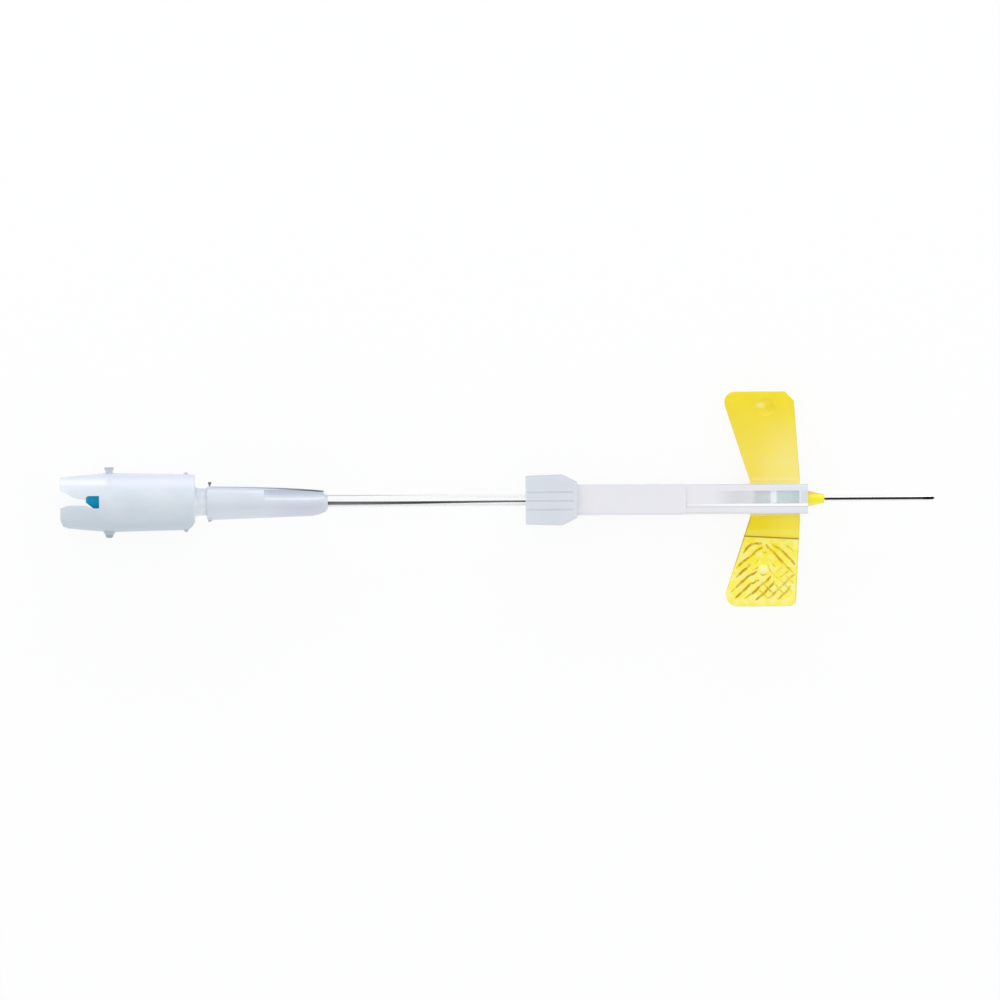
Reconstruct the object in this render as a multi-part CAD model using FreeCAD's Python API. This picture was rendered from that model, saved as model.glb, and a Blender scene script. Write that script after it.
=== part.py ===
import FreeCAD, Part
import math
import os

from FreeCAD import Vector

# Safety butterfly needle, laid flat on a surface as it comes out of its pack.
# +X runs along the needle towards its tip, +Y across the wings, +Z up.
# Origin: middle of the whole object in plan, on the surface that it lies on.
# All sizes are in millimetres.

# Lengths along the axis, from the adapter's mouth to the needle's tip
adapter_length = 23.2
neck_length = 2.05
hub_length = 20.8
free_tube_length = 34.0
collar_length = 8.9
sleeve_beyond_collar = 39.7
nose_beyond_sleeve = 2.8
needle_exposed = 19.0

# Clearances
bond_gap = 0.02          # pieces glued or pressed together, each side
slide_gap = 0.05         # pieces that slide on each other, each side
face_gap = 0.05          # end faces that meet

# Tube-holder adapter
adapter_mouth_radius = 4.35
adapter_widest_radius = 5.1
adapter_rear_radius = 4.78
adapter_end_chamfer = 0.5
adapter_lip_bevel = 0.12
mouth_bore_radius = 3.9
inner_bore_radius = 3.7
web_thickness = 5.0
boss_radius = 1.4
boss_length = 3.0
neck_radius = 2.36
cannula_seat_depth = 3.1  # how far the rear cannula is glued into the web
flow_radius = 0.6

# Bayonet lugs and rear nubs of the adapter
lug_from_mouth = 8.45
lug_tip_radius = 6.1
lug_depth = 1.8
lug_cap_width = 1.6
lug_cap_thickness = 0.55
lug_round = 0.14
lug_neck_width = 1.07
ramp_lug_base = 2.0
ramp_lug_top = 0.9
nub_from_end = 1.55
nub_width = 0.9
nub_top_width = 0.5
nub_height = 0.35
nub_depth = 1.4

# Fish-mouth slot through both walls of the adapter, seen in plan
slot_mouth_upper = 2.1
slot_mouth_lower = 0.99
slot_knee_depth = 2.5
slot_knee_upper = 0.72
slot_knee_round = 2.0
slot_lower_knee_depth = 1.3
slot_throat_upper = 0.45
slot_throat_lower = 0.5
pocket_setback = 0.05     # the pocket starts this far in front of the rubber's tip
pocket_length = 2.25
pocket_upper = 1.13
pocket_lower = 1.03
pocket_slant = 1.15
pocket_round = 0.2
jaw_bevel_length = 0.55
jaw_bevel_height = 1.3

# Rubber sleeve over the rear cannula
rubber_from_mouth = 4.4
rubber_radius = 1.3
rubber_bore_radius = 0.6
rubber_tip_wall = 0.9
rubber_tip_bevel = 0.25
rubber_foot_radius = 2.1
rubber_flare_length = 1.0  # the rubber is wide from this far in front of the boss
rubber_bevel_length = 1.6
rubber_bevel_depth = 1.25

# Luer taper between adapter and hub
luer_mouth_radius = 2.15
luer_slope = 0.03
luer_male_length = 7.4
luer_female_depth = 7.8
luer_gap = 0.03
luer_tip_bevel = 0.15

# Luer hub
hub_rim_radius = 3.0
hub_rim_bevel = 0.2
hub_shoulder_from_rear = 1.1
hub_shoulder_radius = 3.11
hub_waist_radius = 2.56
hub_front_radius = 1.28
hub_nose_length = 2.9     # the front end is rounded off over this length
hub_nose_steps = 3
hub_flat_rear = 2.58      # the flat side, measured from the axis at the rear
hub_flat_front = 1.75
hub_flat_step = 0.75
hub_flat_nose = 1.2       # the flat beyond the step, cut a little into the front rim
ear_tip_radius = 3.45
ear_angle = 36.0
ear_stem_width = 0.3
ear_head_width = 0.55
ear_head_height = 0.35
ear_setback = 0.2
ear_ramp_length = 1.05
scallop_length = 10.9
scallop_slope = 0.035
ridge_offset = 0.5
scallop_radius = 1.5
scallop_height = 3.4
ridge_clear = 0.04        # a trough's edge at the waist, just outside the surface
tube_socket_depth = 6.8

# Tube and cannula
tube_radius = 1.05
tube_bore_radius = 0.6
tube_first_run = 16.5
tube_middle_run = 21.0
arc_share = 0.24
cannula_radius = 0.45
cannula_bore_radius = 0.3
bevel_length = 1.9

# Grip collar
collar_height = 8.2
collar_rear_width = 8.4
collar_lip_width = 8.8
collar_front_width = 6.0
collar_taper_length = 2.6
collar_front_chamfer = 0.6
collar_edge_round = 0.8
collar_rear_wall = 1.2
grip_groove_count = 3
grip_groove_pitch = 1.5
grip_groove_offset = -0.19
grip_groove_width = 0.35
grip_groove_depth = 0.12
grip_groove_end = 0.7

# Shield sleeve
sleeve_rear_width = 5.34
sleeve_rear_height = 5.3
sleeve_front_width = 5.18
sleeve_front_height = 4.9
sleeve_edge_round = 0.45
sleeve_step_from_front = 21.0
cavity_size = 3.1
cavity_round = 0.4
sleeve_tube_gap = 0.2
tip_cover = 4.0           # how far the pushed-out sleeve stands past the needle's tip
slot_bridge = 1.35        # wall left in front of the side slots
line_groove_offset = 1.05
line_groove_width = 0.3
line_groove_depth = 0.12

# Barrel that joins the tube to the cannula
barrel_length = 12.9
barrel_size = 2.8
barrel_round = 0.5
barrel_tail_length = 5.0
barrel_socket_depth = 4.0
latch_rib_from_front = 4.0
latch_rib_width = 0.9
groove_depth = 0.38
cannula_in_barrel = 7.5

# Yellow wing moulding: nose, rails and two wings
nose_radius = 1.36
nose_tip_radius = 0.73
nose_bevel = 0.12
wing_root_chord = 8.65
wing_thickness = 0.8
rail_gap = 0.1            # rails in the sleeve's side slots, above and below
tongue_reach = 0.5        # the rails are joined to the nose over this length
wing_half_span = 18.5
wing_rear_setback = 0.2   # the wings start this far in front of the rails' rear ends
wing_rear_sweep = 5.2     # how far back the straight rear edge leads by the tip
hinge_outset = 0.8        # fold line, measured from the sleeve's side
pad_lift = 0.2            # how much thicker the gripping pad is
crease_span_rear = 6.46   # the pad starts at this crease, measured from the axis
crease_span_front = 6.94
upper_front_sweep = 1.05
upper_rear_round = 3.7
upper_chamfer_length = 1.6
upper_chamfer_width = 1.4
lower_front_sweep = 0.8
lower_rear_round = 4.2
lower_front_round = 1.2

# Places along X that follow from the lengths
overall_length = (
    adapter_length + neck_length + hub_length + free_tube_length + collar_length
    + sleeve_beyond_collar + nose_beyond_sleeve + needle_exposed
)
mouth_x = -overall_length / 2
adapter_end_x = mouth_x + adapter_length
hub_rear_x = adapter_end_x + neck_length
hub_front_x = hub_rear_x + hub_length
collar_rear_x = hub_front_x + free_tube_length
collar_front_x = collar_rear_x + collar_length
sleeve_front_x = collar_front_x + sleeve_beyond_collar
nose_tip_x = sleeve_front_x + nose_beyond_sleeve
needle_tip_x = nose_tip_x + needle_exposed

web_front_x = adapter_end_x - web_thickness
boss_front_x = web_front_x - boss_length
rubber_tip_x = mouth_x + rubber_from_mouth
sleeve_rear_x = collar_rear_x + collar_rear_wall
sleeve_step_x = sleeve_front_x - sleeve_step_from_front
root_front_x = sleeve_front_x - slot_bridge - face_gap
root_rear_x = root_front_x - wing_root_chord
barrel_front_x = root_front_x - face_gap
barrel_rear_x = barrel_front_x - barrel_length
shield_travel = nose_beyond_sleeve + needle_exposed + tip_cover

# Heights: the adapter and the collar both lie on the surface
hub_z = adapter_widest_radius
needle_z = collar_height / 2
hinge_y = sleeve_rear_width / 2 + hinge_outset


def rounded_face(corners):
    """A flat face in plan. Each corner is (u, v) or (u, v, radius of its round)."""
    points = [Vector(c[0], c[1], 0) for c in corners]
    joints = []
    for i, corner in enumerate(corners):
        here = points[i]
        radius = corner[2] if len(corner) > 2 else 0
        if radius <= 0:
            joints.append((here, None, here))
            continue
        back = (points[i - 1] - here).normalize()
        on = (points[(i + 1) % len(points)] - here).normalize()
        half = back.getAngle(on) / 2
        run = radius / math.tan(half)
        inward = (back + on).normalize()
        middle = here + inward * (radius / math.sin(half) - radius)
        joints.append((here + back * run, middle, here + on * run))
    edges = []
    for i, (start, middle, end) in enumerate(joints):
        following = joints[(i + 1) % len(joints)][0]
        if middle is not None:
            edges.append(Part.Arc(start, middle, end).toShape())
        if end.distanceToPoint(following) > Part.Precision.confusion():
            edges.append(Part.makeLine(end, following))
    return Part.Face(Part.Wire(edges))


def bevelled(corners):
    """The same corners, with each (u, v, size) cut off straight by that size."""
    cut = []
    for i, corner in enumerate(corners):
        here = Vector(corner[0], corner[1], 0)
        if len(corner) < 3:
            cut.append(corner)
            continue
        for other in (corners[i - 1], corners[(i + 1) % len(corners)]):
            away = (Vector(other[0], other[1], 0) - here).normalize() * corner[2]
            cut.append((here.x + away.x, here.y + away.y))
    return cut


def turned(corners, z):
    """A solid of revolution about the X direction at height z, from (x, radius) corners."""
    face = rounded_face(corners)
    solid = face.revolve(Vector(0, 0, 0), Vector(1, 0, 0), 360)
    return solid.translated(Vector(0, 0, z))


def plan_prism(corners, low, high):
    """An outline drawn in plan, from one height to another."""
    face = rounded_face(corners).translated(Vector(0, 0, low))
    return face.extrude(Vector(0, 0, high - low))


def side_prism(corners, width):
    """An outline drawn in side view as (x, z), as wide as width across Y."""
    face = rounded_face(corners)
    face.rotate(Vector(0, 0, 0), Vector(1, 0, 0), 90)
    return face.translated(Vector(0, width / 2, 0)).extrude(Vector(0, -width, 0))


def bar(start, end, width, height, corner, z):
    """A bar along X with rounded long edges, centred on Y = 0 and on the height z."""
    u, v = width / 2, height / 2
    face = rounded_face([(-u, -v, corner), (u, -v, corner), (u, v, corner), (-u, v, corner)])
    face.Placement = FreeCAD.Placement(
        Vector(start, 0, z), FreeCAD.Rotation(Vector(1, 1, 1), 120)
    )
    return face.extrude(Vector(end - start, 0, 0))


def box(x, y, z):
    """A plain block between pairs of limits."""
    block = Part.makeBox(x[1] - x[0], y[1] - y[0], z[1] - z[0])
    return block.translated(Vector(x[0], y[0], z[0]))


def rod(start, end, radius, y, z):
    """A round rod along X."""
    return Part.makeCylinder(radius, end - start, Vector(start, y, z), Vector(1, 0, 0))


def mirrored(shape):
    """The same shape on the other side of the axis."""
    return shape.mirror(Vector(0, 0, 0), Vector(0, 1, 0))


# Adapter: a turned shell with a male luer taper, a bored web and a slotted mouth
male_rear_x = hub_rear_x - face_gap
male_tip_x = hub_rear_x + luer_male_length
cannula_seat_x = web_front_x + cannula_seat_depth
cannula_fit_radius = cannula_radius + bond_gap


def male_radius(x):
    return luer_mouth_radius - luer_gap - luer_slope * (x - hub_rear_x)


def adapter_shell():
    step_x = rubber_tip_x - slide_gap
    return turned(bevelled([
        (mouth_x, mouth_bore_radius),
        (mouth_x, adapter_mouth_radius, adapter_lip_bevel),
        (mouth_x + lug_from_mouth, adapter_widest_radius),
        (adapter_end_x - adapter_end_chamfer, adapter_rear_radius),
        (adapter_end_x, adapter_rear_radius - adapter_end_chamfer),
        (adapter_end_x, neck_radius),
        (male_rear_x, neck_radius),
        (male_rear_x, male_radius(male_rear_x)),
        (male_tip_x, male_radius(male_tip_x), luer_tip_bevel),
        (male_tip_x, flow_radius),
        (cannula_seat_x, flow_radius),
        (cannula_seat_x, cannula_fit_radius),
        (boss_front_x, cannula_fit_radius),
        (boss_front_x, boss_radius),
        (web_front_x, boss_radius),
        (web_front_x, inner_bore_radius),
        (step_x, inner_bore_radius),
        (step_x, mouth_bore_radius),
    ]), hub_z)


def mouth_cutter():
    """The fish-mouth slot with its pocket, and the bevel on the lower jaw's corner."""
    before = mouth_x - slot_knee_depth
    pocket_x = rubber_tip_x - pocket_setback
    pocket_end = pocket_x + pocket_length
    flare = slot_mouth_upper + (slot_mouth_upper - slot_knee_upper)
    slot = plan_prism([
        (before, flare),
        (mouth_x + slot_knee_depth, slot_knee_upper, slot_knee_round),
        (pocket_x, slot_throat_upper),
        (pocket_x, pocket_upper, pocket_round),
        (pocket_end, pocket_upper, pocket_round),
        (pocket_end, -pocket_lower, pocket_round),
        (pocket_x + pocket_slant, -pocket_lower),
        (pocket_x, -slot_throat_lower),
        (mouth_x + slot_lower_knee_depth, -slot_throat_lower, slot_knee_round),
        (mouth_x, -slot_mouth_lower),
        (before, -slot_mouth_lower),
    ], hub_z - adapter_widest_radius, hub_z + adapter_widest_radius)
    edge = adapter_mouth_radius
    bevel = plan_prism([
        (mouth_x, jaw_bevel_height - edge),
        (mouth_x + jaw_bevel_length, -edge),
        (mouth_x, -edge - jaw_bevel_height),
        (before, -edge),
    ], hub_z - adapter_widest_radius, hub_z + adapter_widest_radius)
    return slot.fuse(bevel)


def adapter_lugs():
    """A T-shaped lug on one side, a ramped one on the other, and two small rear nubs."""
    lug_x = mouth_x + lug_from_mouth
    half_depth = lug_depth / 2
    low, high = hub_z - half_depth, hub_z + half_depth
    root = (inner_bore_radius + adapter_widest_radius) / 2
    neck = box(
        (lug_x - lug_neck_width / 2, lug_x + lug_neck_width / 2),
        (root, lug_tip_radius - lug_cap_thickness / 2), (low, high),
    )
    u = lug_cap_width / 2
    under = lug_tip_radius - lug_cap_thickness
    cap = plan_prism([
        (lug_x - u, under, lug_round), (lug_x + u, under, lug_round),
        (lug_x + u, lug_tip_radius, lug_round), (lug_x - u, lug_tip_radius, lug_round),
    ], low, high)
    ramp = plan_prism([
        (lug_x - ramp_lug_base / 2, -root), (lug_x + ramp_lug_base / 2, -root),
        (lug_x + ramp_lug_base / 2, -adapter_widest_radius),
        (lug_x + ramp_lug_top / 2, -lug_tip_radius, lug_round),
        (lug_x - ramp_lug_top / 2, -lug_tip_radius, lug_round),
        (lug_x - ramp_lug_base / 2, -adapter_widest_radius),
    ], low, high)
    nub_x = adapter_end_x - nub_from_end
    foot = (inner_bore_radius + adapter_rear_radius) / 2
    top = adapter_rear_radius + nub_height
    nub = plan_prism([
        (nub_x - nub_width / 2, foot), (nub_x + nub_width / 2, foot),
        (nub_x + nub_width / 2, adapter_rear_radius),
        (nub_x + nub_top_width / 2, top),
        (nub_x - nub_top_width / 2, top),
        (nub_x - nub_width / 2, adapter_rear_radius),
    ], hub_z - nub_depth / 2, hub_z + nub_depth / 2)
    return [neck, cap, ramp, nub, mirrored(nub)]


def adapter_body():
    return adapter_shell().fuse(adapter_lugs()).cut(mouth_cutter()).removeSplitter()


def bevelled_tube(blunt_x, tip_x, z):
    """A steel cannula, its point ground with one bevel that faces up."""
    length = abs(tip_x - blunt_x)
    wall = Part.makeCylinder(cannula_radius, length).cut(
        Part.makeCylinder(cannula_bore_radius, length)
    )
    wedge = rounded_face([
        (-cannula_radius, length),
        (cannula_radius, length - bevel_length),
        (cannula_radius, length + bevel_length),
        (-cannula_radius, length + bevel_length),
    ])
    wedge.rotate(Vector(0, 0, 0), Vector(1, 0, 0), 90)
    grind = wedge.translated(Vector(0, cannula_radius, 0)).extrude(
        Vector(0, -2 * cannula_radius, 0)
    )
    needle = wall.cut(grind)
    direction = math.copysign(1, tip_x - blunt_x)
    axes = Vector(0, 0, direction), Vector(0, direction, 0), Vector(direction, 0, 0)
    turn = FreeCAD.Rotation(*axes, "ZXY")
    needle.Placement = FreeCAD.Placement(Vector(blunt_x, 0, z), turn)
    return needle


def rear_cannula():
    point_x = rubber_tip_x + rubber_tip_wall + bond_gap
    return bevelled_tube(cannula_seat_x, point_x, hub_z)


def rubber_sleeve():
    """A closed rubber sleeve pushed over the boss, its nose cut slanting on one side."""
    foot_x = boss_front_x - rubber_flare_length
    end_x = web_front_x - face_gap
    grip = boss_radius + bond_gap
    sleeve = turned(bevelled([
        (rubber_tip_x, 0),
        (rubber_tip_x, rubber_radius, rubber_tip_bevel),
        (foot_x, rubber_radius),
        (boss_front_x, rubber_foot_radius),
        (end_x, rubber_foot_radius),
        (end_x, grip),
        (boss_front_x - face_gap, grip),
        (boss_front_x - face_gap, rubber_bore_radius),
        (rubber_tip_x + rubber_tip_wall, rubber_bore_radius),
        (rubber_tip_x + rubber_tip_wall, 0),
    ]), hub_z)
    side = -rubber_radius - rubber_tip_bevel
    slant = plan_prism([
        (rubber_tip_x - rubber_bevel_length, side),
        (rubber_tip_x - rubber_bevel_length, rubber_bevel_depth - rubber_radius),
        (rubber_tip_x, rubber_bevel_depth - rubber_radius),
        (rubber_tip_x + rubber_bevel_length, side),
    ], hub_z - rubber_foot_radius, hub_z + rubber_foot_radius)
    return sleeve.cut(slant)


def ear(corners, middle_angle):
    """A luer ear: a profile turned through part of a circle about the axis."""
    start = middle_angle - ear_angle / 2
    face = rounded_face(corners)
    face.rotate(Vector(0, 0, 0), Vector(1, 0, 0), start)
    piece = face.revolve(Vector(0, 0, 0), Vector(1, 0, 0), ear_angle)
    return piece.translated(Vector(0, 0, hub_z))


def hub_ears():
    x = hub_rear_x + ear_setback
    root = (luer_mouth_radius + hub_flat_rear) / 2
    under = ear_tip_radius - ear_head_height
    stem_rear = x + (ear_head_width - ear_stem_width) / 2
    tee = [
        (stem_rear, root), (stem_rear + ear_stem_width, root),
        (stem_rear + ear_stem_width, under), (x + ear_head_width, under),
        (x + ear_head_width, ear_tip_radius), (x, ear_tip_radius),
        (x, under), (stem_rear, under),
    ]
    ramp = [
        (x, root), (x + ear_ramp_length, root), (x + ear_ramp_length, hub_rim_radius),
        (x + ear_stem_width, ear_tip_radius), (x, ear_tip_radius),
    ]
    return [ear(tee, 0), ear(ramp, 180)]


def scallops():
    """Finger troughs along the flat side, one on the top and one on the underside."""
    length = scallop_length + hub_flat_step
    drop = scallop_slope * length
    reach = hub_waist_radius + ridge_clear
    rise = scallop_height - math.sqrt(reach ** 2 - ridge_offset ** 2)
    across = math.sqrt(scallop_radius ** 2 - rise ** 2)
    base = Vector(hub_front_x - scallop_length, ridge_offset + across, hub_z + scallop_height)
    trough = Part.makeCylinder(scallop_radius, length, base, Vector(length, 0, -drop))
    return [trough, trough.mirror(Vector(0, 0, hub_z), Vector(0, 0, 1))]


def luer_hub():
    """A female luer hub with ears, one flat side, finger troughs and a socket for the tube."""
    shoulder_x = hub_rear_x + hub_shoulder_from_rear
    nose = []
    for i in range(hub_nose_steps + 1):
        turn = math.pi / 2 * i / hub_nose_steps
        x = hub_front_x - hub_nose_length * (1 - math.sin(turn))
        nose.append((x, hub_front_radius + (hub_waist_radius - hub_front_radius) * math.cos(turn)))
    solid = turned([
        (hub_rear_x, 0),
        (hub_rear_x, hub_rim_radius - hub_rim_bevel),
        (hub_rear_x + hub_rim_bevel, hub_rim_radius),
        (shoulder_x, hub_shoulder_radius),
    ] + nose + [(hub_front_x, 0)], hub_z)
    beyond = hub_shoulder_radius + hub_rim_bevel
    high, low = hub_z + beyond, hub_z - beyond
    step_x = hub_front_x - hub_flat_step
    flat = plan_prism([
        (hub_rear_x - face_gap, hub_flat_rear),
        (step_x, hub_flat_front),
        (step_x, hub_flat_nose),
        (hub_front_x + face_gap, hub_flat_nose),
        (hub_front_x + face_gap, beyond),
        (hub_rear_x - face_gap, beyond),
    ], low, high)
    female_end = hub_rear_x + luer_female_depth
    female = turned([
        (hub_rear_x - face_gap, 0),
        (hub_rear_x - face_gap, luer_mouth_radius + luer_slope * face_gap),
        (female_end, luer_mouth_radius - luer_slope * luer_female_depth),
        (female_end, 0),
    ], hub_z)
    socket_x = hub_front_x - tube_socket_depth
    socket = rod(socket_x, hub_front_x + face_gap, tube_radius + bond_gap, 0, hub_z)
    passage = rod(female_end - face_gap, hub_front_x, flow_radius, 0, hub_z)
    shaped = solid.cut([flat] + scallops()).fuse(hub_ears())
    return shaped.cut([female, socket, passage]).removeSplitter()


# Tube: straight where it is held at each end, with one easy drop between two heights
tube_rear_x = hub_front_x - tube_socket_depth + face_gap
tube_front_x = barrel_rear_x + barrel_socket_depth - face_gap
tube_route = [
    Vector(tube_rear_x, 0, hub_z),
    Vector(tube_rear_x + tube_first_run, 0, hub_z),
    Vector(tube_rear_x + tube_first_run + tube_middle_run, 0, needle_z),
    Vector(tube_front_x, 0, needle_z),
]


def route_wire(points):
    """Straight runs joined by tangent arcs, as large as the runs allow."""
    edges = []
    last = points[0]
    for before, here, after in zip(points, points[1:], points[2:]):
        back, on = before - here, after - here
        run = arc_share * min(back.Length, on.Length)
        half = back.getAngle(on) / 2
        radius = run * math.tan(half)
        back.normalize()
        on.normalize()
        inward = (back + on).normalize()
        start, end = here + back * run, here + on * run
        middle = here + inward * (radius / math.sin(half) - radius)
        edges += [Part.makeLine(last, start), Part.Arc(start, middle, end).toShape()]
        last = end
        print("tube bend radius", round(radius, 1), "mm")
    edges.append(Part.makeLine(last, points[-1]))
    return Part.Wire(edges)


def tube():
    wire = route_wire(tube_route)
    ends = [
        Part.Face(Part.Wire(Part.makeCircle(radius, tube_route[0], Vector(1, 0, 0))))
        for radius in (tube_radius, tube_bore_radius)
    ]
    outer, inner = [wire.makePipe(end) for end in ends]
    section = math.pi * (tube_radius ** 2 - tube_bore_radius ** 2)
    hose = outer.cut(inner)
    print("tube length", round(wire.Length, 2), "volume over section times length",
          round(hose.Volume / (section * wire.Length), 4))
    return hose


def cannula():
    return bevelled_tube(barrel_front_x - cannula_in_barrel, needle_tip_x, needle_z)


def barrel():
    """The clear carrier inside the sleeve: tube socket behind, cannula in front."""
    block_x = barrel_rear_x + barrel_tail_length
    rib_x = barrel_front_x - latch_rib_from_front - latch_rib_width
    rib_size = cavity_size - 2 * slide_gap
    tail = turned([
        (barrel_rear_x, 0), (barrel_rear_x, barrel_size / 2),
        (block_x + barrel_round, barrel_size / 2), (block_x + barrel_round, 0),
    ], needle_z)
    block = bar(block_x, barrel_front_x, barrel_size, barrel_size, barrel_round, needle_z)
    rib = bar(rib_x, rib_x + latch_rib_width, rib_size, rib_size, barrel_round, needle_z)
    groove_floor = barrel_size / 2 - groove_depth
    half_height = wing_thickness / 2 + bond_gap
    groove = box(
        (root_rear_x - face_gap, barrel_front_x + face_gap),
        (groove_floor, cavity_size), (needle_z - half_height, needle_z + half_height),
    )
    socket_end = barrel_rear_x + barrel_socket_depth
    socket = rod(barrel_rear_x - face_gap, socket_end, tube_radius + bond_gap, 0, needle_z)
    seat_x = barrel_front_x - cannula_in_barrel - face_gap
    seat = rod(seat_x, barrel_front_x + face_gap, cannula_fit_radius, 0, needle_z)
    passage = rod(barrel_rear_x, barrel_front_x, cannula_bore_radius, 0, needle_z)
    hollows = [groove, mirrored(groove), socket, seat, passage]
    return tail.fuse([block, rib]).cut(hollows).removeSplitter()


# Yellow moulding, parted at its two fold lines
bead_radius = wing_thickness / 2
rail_inner_y = barrel_size / 2 - groove_depth + bond_gap
rail_outer_y = hinge_y - bead_radius - slide_gap
wing_low = needle_z - wing_thickness / 2
wing_high = needle_z + wing_thickness / 2


def wing_saddle():
    """Nose cone in front of the barrel, with two rails in the barrel's side grooves."""
    base_x = barrel_front_x + face_gap
    nose = turned(bevelled([
        (base_x, cannula_fit_radius), (base_x, nose_radius), (sleeve_front_x, nose_radius),
        (nose_tip_x, nose_tip_radius, nose_bevel), (nose_tip_x, cannula_fit_radius),
    ]), needle_z)
    rail = box((root_rear_x, root_front_x), (rail_inner_y, rail_outer_y), (wing_low, wing_high))
    tongue_y = barrel_size / 2 - bond_gap
    along = root_front_x - wing_thickness, base_x + tongue_reach
    tongue = box(along, (rail_inner_y, tongue_y), (wing_low, wing_high))
    clear = rod(base_x - face_gap, nose_tip_x + face_gap, cannula_fit_radius, 0, needle_z)
    joined = nose.fuse([rail, mirrored(rail), tongue, mirrored(tongue)])
    return joined.cut(clear).removeSplitter()


def wing_outline(rear_round, front_corner):
    """Plan of one wing, outwards from its fold line."""
    side_y = sleeve_rear_width / 2
    start_x = root_rear_x + wing_rear_setback
    rear_at_hinge = start_x - wing_rear_sweep * (hinge_y - side_y) / (wing_half_span - side_y)
    return [
        (rear_at_hinge, hinge_y),
        (start_x - wing_rear_sweep, wing_half_span, rear_round),
    ] + front_corner + [(root_front_x, hinge_y)]


def pad_limits(outward, low, high):
    """The half-plane beyond the crease, as a block to cut a wing's outline with."""
    rear, front = root_rear_x - wing_rear_sweep, root_front_x + wing_thickness
    slope = (crease_span_front - crease_span_rear) / wing_root_chord
    start = crease_span_rear + slope * (rear - root_rear_x)
    end = crease_span_rear + slope * (front - root_rear_x)
    return plan_prism([(rear, start), (front, end), (front, outward), (rear, outward)], low, high)


def wing(corners, pad_side):
    """A wing with its fold bead and a thicker gripping pad on one face."""
    root_rear = corners[0][0]
    sheet = plan_prism(corners, wing_low, wing_high)
    bead = rod(root_rear, root_front_x, bead_radius, hinge_y, needle_z)
    pad_face = needle_z + pad_side * (wing_thickness / 2 + pad_lift)
    low, high = sorted((needle_z, pad_face))
    pad = plan_prism(corners, low, high).common(
        pad_limits(wing_half_span + wing_thickness, low, high)
    )
    return sheet.fuse([bead, pad]).removeSplitter()


def wing_upper():
    """The wing on the +Y side: smooth on top, its pad underneath."""
    front = root_front_x - upper_front_sweep
    corners = wing_outline(upper_rear_round, [
        (front - upper_chamfer_width, wing_half_span),
        (front, wing_half_span - upper_chamfer_length),
    ])
    return wing(corners, -1)


def wing_lower():
    """The wing on the -Y side: its pad on top."""
    front = root_front_x - lower_front_sweep
    corners = wing_outline(lower_rear_round, [(front, wing_half_span, lower_front_round)])
    return mirrored(wing(corners, 1))


def grip_collar():
    """A boxy thumb grip bonded over the sleeve's rear end, with grooves on top and underneath."""
    lip_x = collar_front_x - collar_taper_length
    rear, lip, front = collar_rear_width / 2, collar_lip_width / 2, collar_front_width / 2
    plan = plan_prism([
        (collar_rear_x, -rear), (lip_x, -lip), (collar_front_x, -front),
        (collar_front_x, front), (lip_x, lip), (collar_rear_x, rear),
    ], 0, collar_height)
    side = side_prism([
        (collar_rear_x, 0), (collar_front_x - collar_front_chamfer, 0),
        (collar_front_x, collar_front_chamfer),
        (collar_front_x, collar_height - collar_front_chamfer),
        (collar_front_x - collar_front_chamfer, collar_height),
        (collar_rear_x, collar_height),
    ], collar_lip_width + collar_edge_round)
    edges_rounded = bar(
        collar_rear_x, collar_front_x, collar_lip_width, collar_height, collar_edge_round, needle_z
    )
    body = plan.common(side).common(edges_rounded)
    cutters = [
        bar(sleeve_rear_x, collar_front_x + face_gap, sleeve_rear_width + 2 * bond_gap,
            sleeve_rear_height + 2 * bond_gap, sleeve_edge_round, needle_z),
        rod(collar_rear_x - face_gap, collar_front_x, tube_radius + sleeve_tube_gap, 0, needle_z),
    ]
    for i in range(grip_groove_count):
        y = grip_groove_offset + (i - (grip_groove_count - 1) / 2) * grip_groove_pitch
        across = (y - grip_groove_width / 2, y + grip_groove_width / 2)
        along = (collar_rear_x - face_gap, collar_front_x - grip_groove_end)
        for face_z in (0, collar_height):
            depth = face_z - grip_groove_depth, face_z + grip_groove_depth
            cutters.append(box(along, across, depth))
    return body.cut(cutters).removeSplitter()


def shield_sleeve():
    """A square-sided sleeve with a slot in each side, so that it slides along the wing roots."""
    rear = bar(sleeve_rear_x, sleeve_step_x, sleeve_rear_width, sleeve_rear_height,
               sleeve_edge_round, needle_z)
    front = bar(sleeve_step_x - sleeve_edge_round, sleeve_front_x, sleeve_front_width,
                sleeve_front_height, sleeve_edge_round, needle_z)
    cavity_x = barrel_rear_x - shield_travel - 2 * face_gap
    cavity = bar(cavity_x, sleeve_front_x + face_gap, cavity_size, cavity_size,
                 cavity_round, needle_z)
    hole_radius = tube_radius + sleeve_tube_gap
    tube_hole = rod(sleeve_rear_x - face_gap, cavity_x + face_gap, hole_radius, 0, needle_z)
    slot_height = wing_thickness + 2 * rail_gap
    slot_start = root_rear_x - shield_travel - face_gap
    slot_end = root_front_x + face_gap
    slot = plan_prism([
        (slot_start, -sleeve_rear_width), (slot_end, -sleeve_rear_width),
        (slot_end, sleeve_rear_width), (slot_start, sleeve_rear_width),
    ], needle_z - slot_height / 2, needle_z + slot_height / 2)
    line = rod(sleeve_step_x, sleeve_front_x + face_gap, line_groove_width / 2, -line_groove_offset,
               needle_z + sleeve_front_height / 2 + line_groove_width / 2 - line_groove_depth)
    return rear.fuse(front).cut([cavity, tube_hole, slot, line]).removeSplitter()


pieces = {
    "adapter_body": adapter_body,
    "rear_cannula": rear_cannula,
    "rubber_sleeve": rubber_sleeve,
    "luer_hub": luer_hub,
    "tube": tube,
    "barrel": barrel,
    "cannula": cannula,
    "wing_saddle": wing_saddle,
    "wing_upper": wing_upper,
    "wing_lower": wing_lower,
    "grip_collar": grip_collar,
    "shield_sleeve": shield_sleeve,
}

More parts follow.
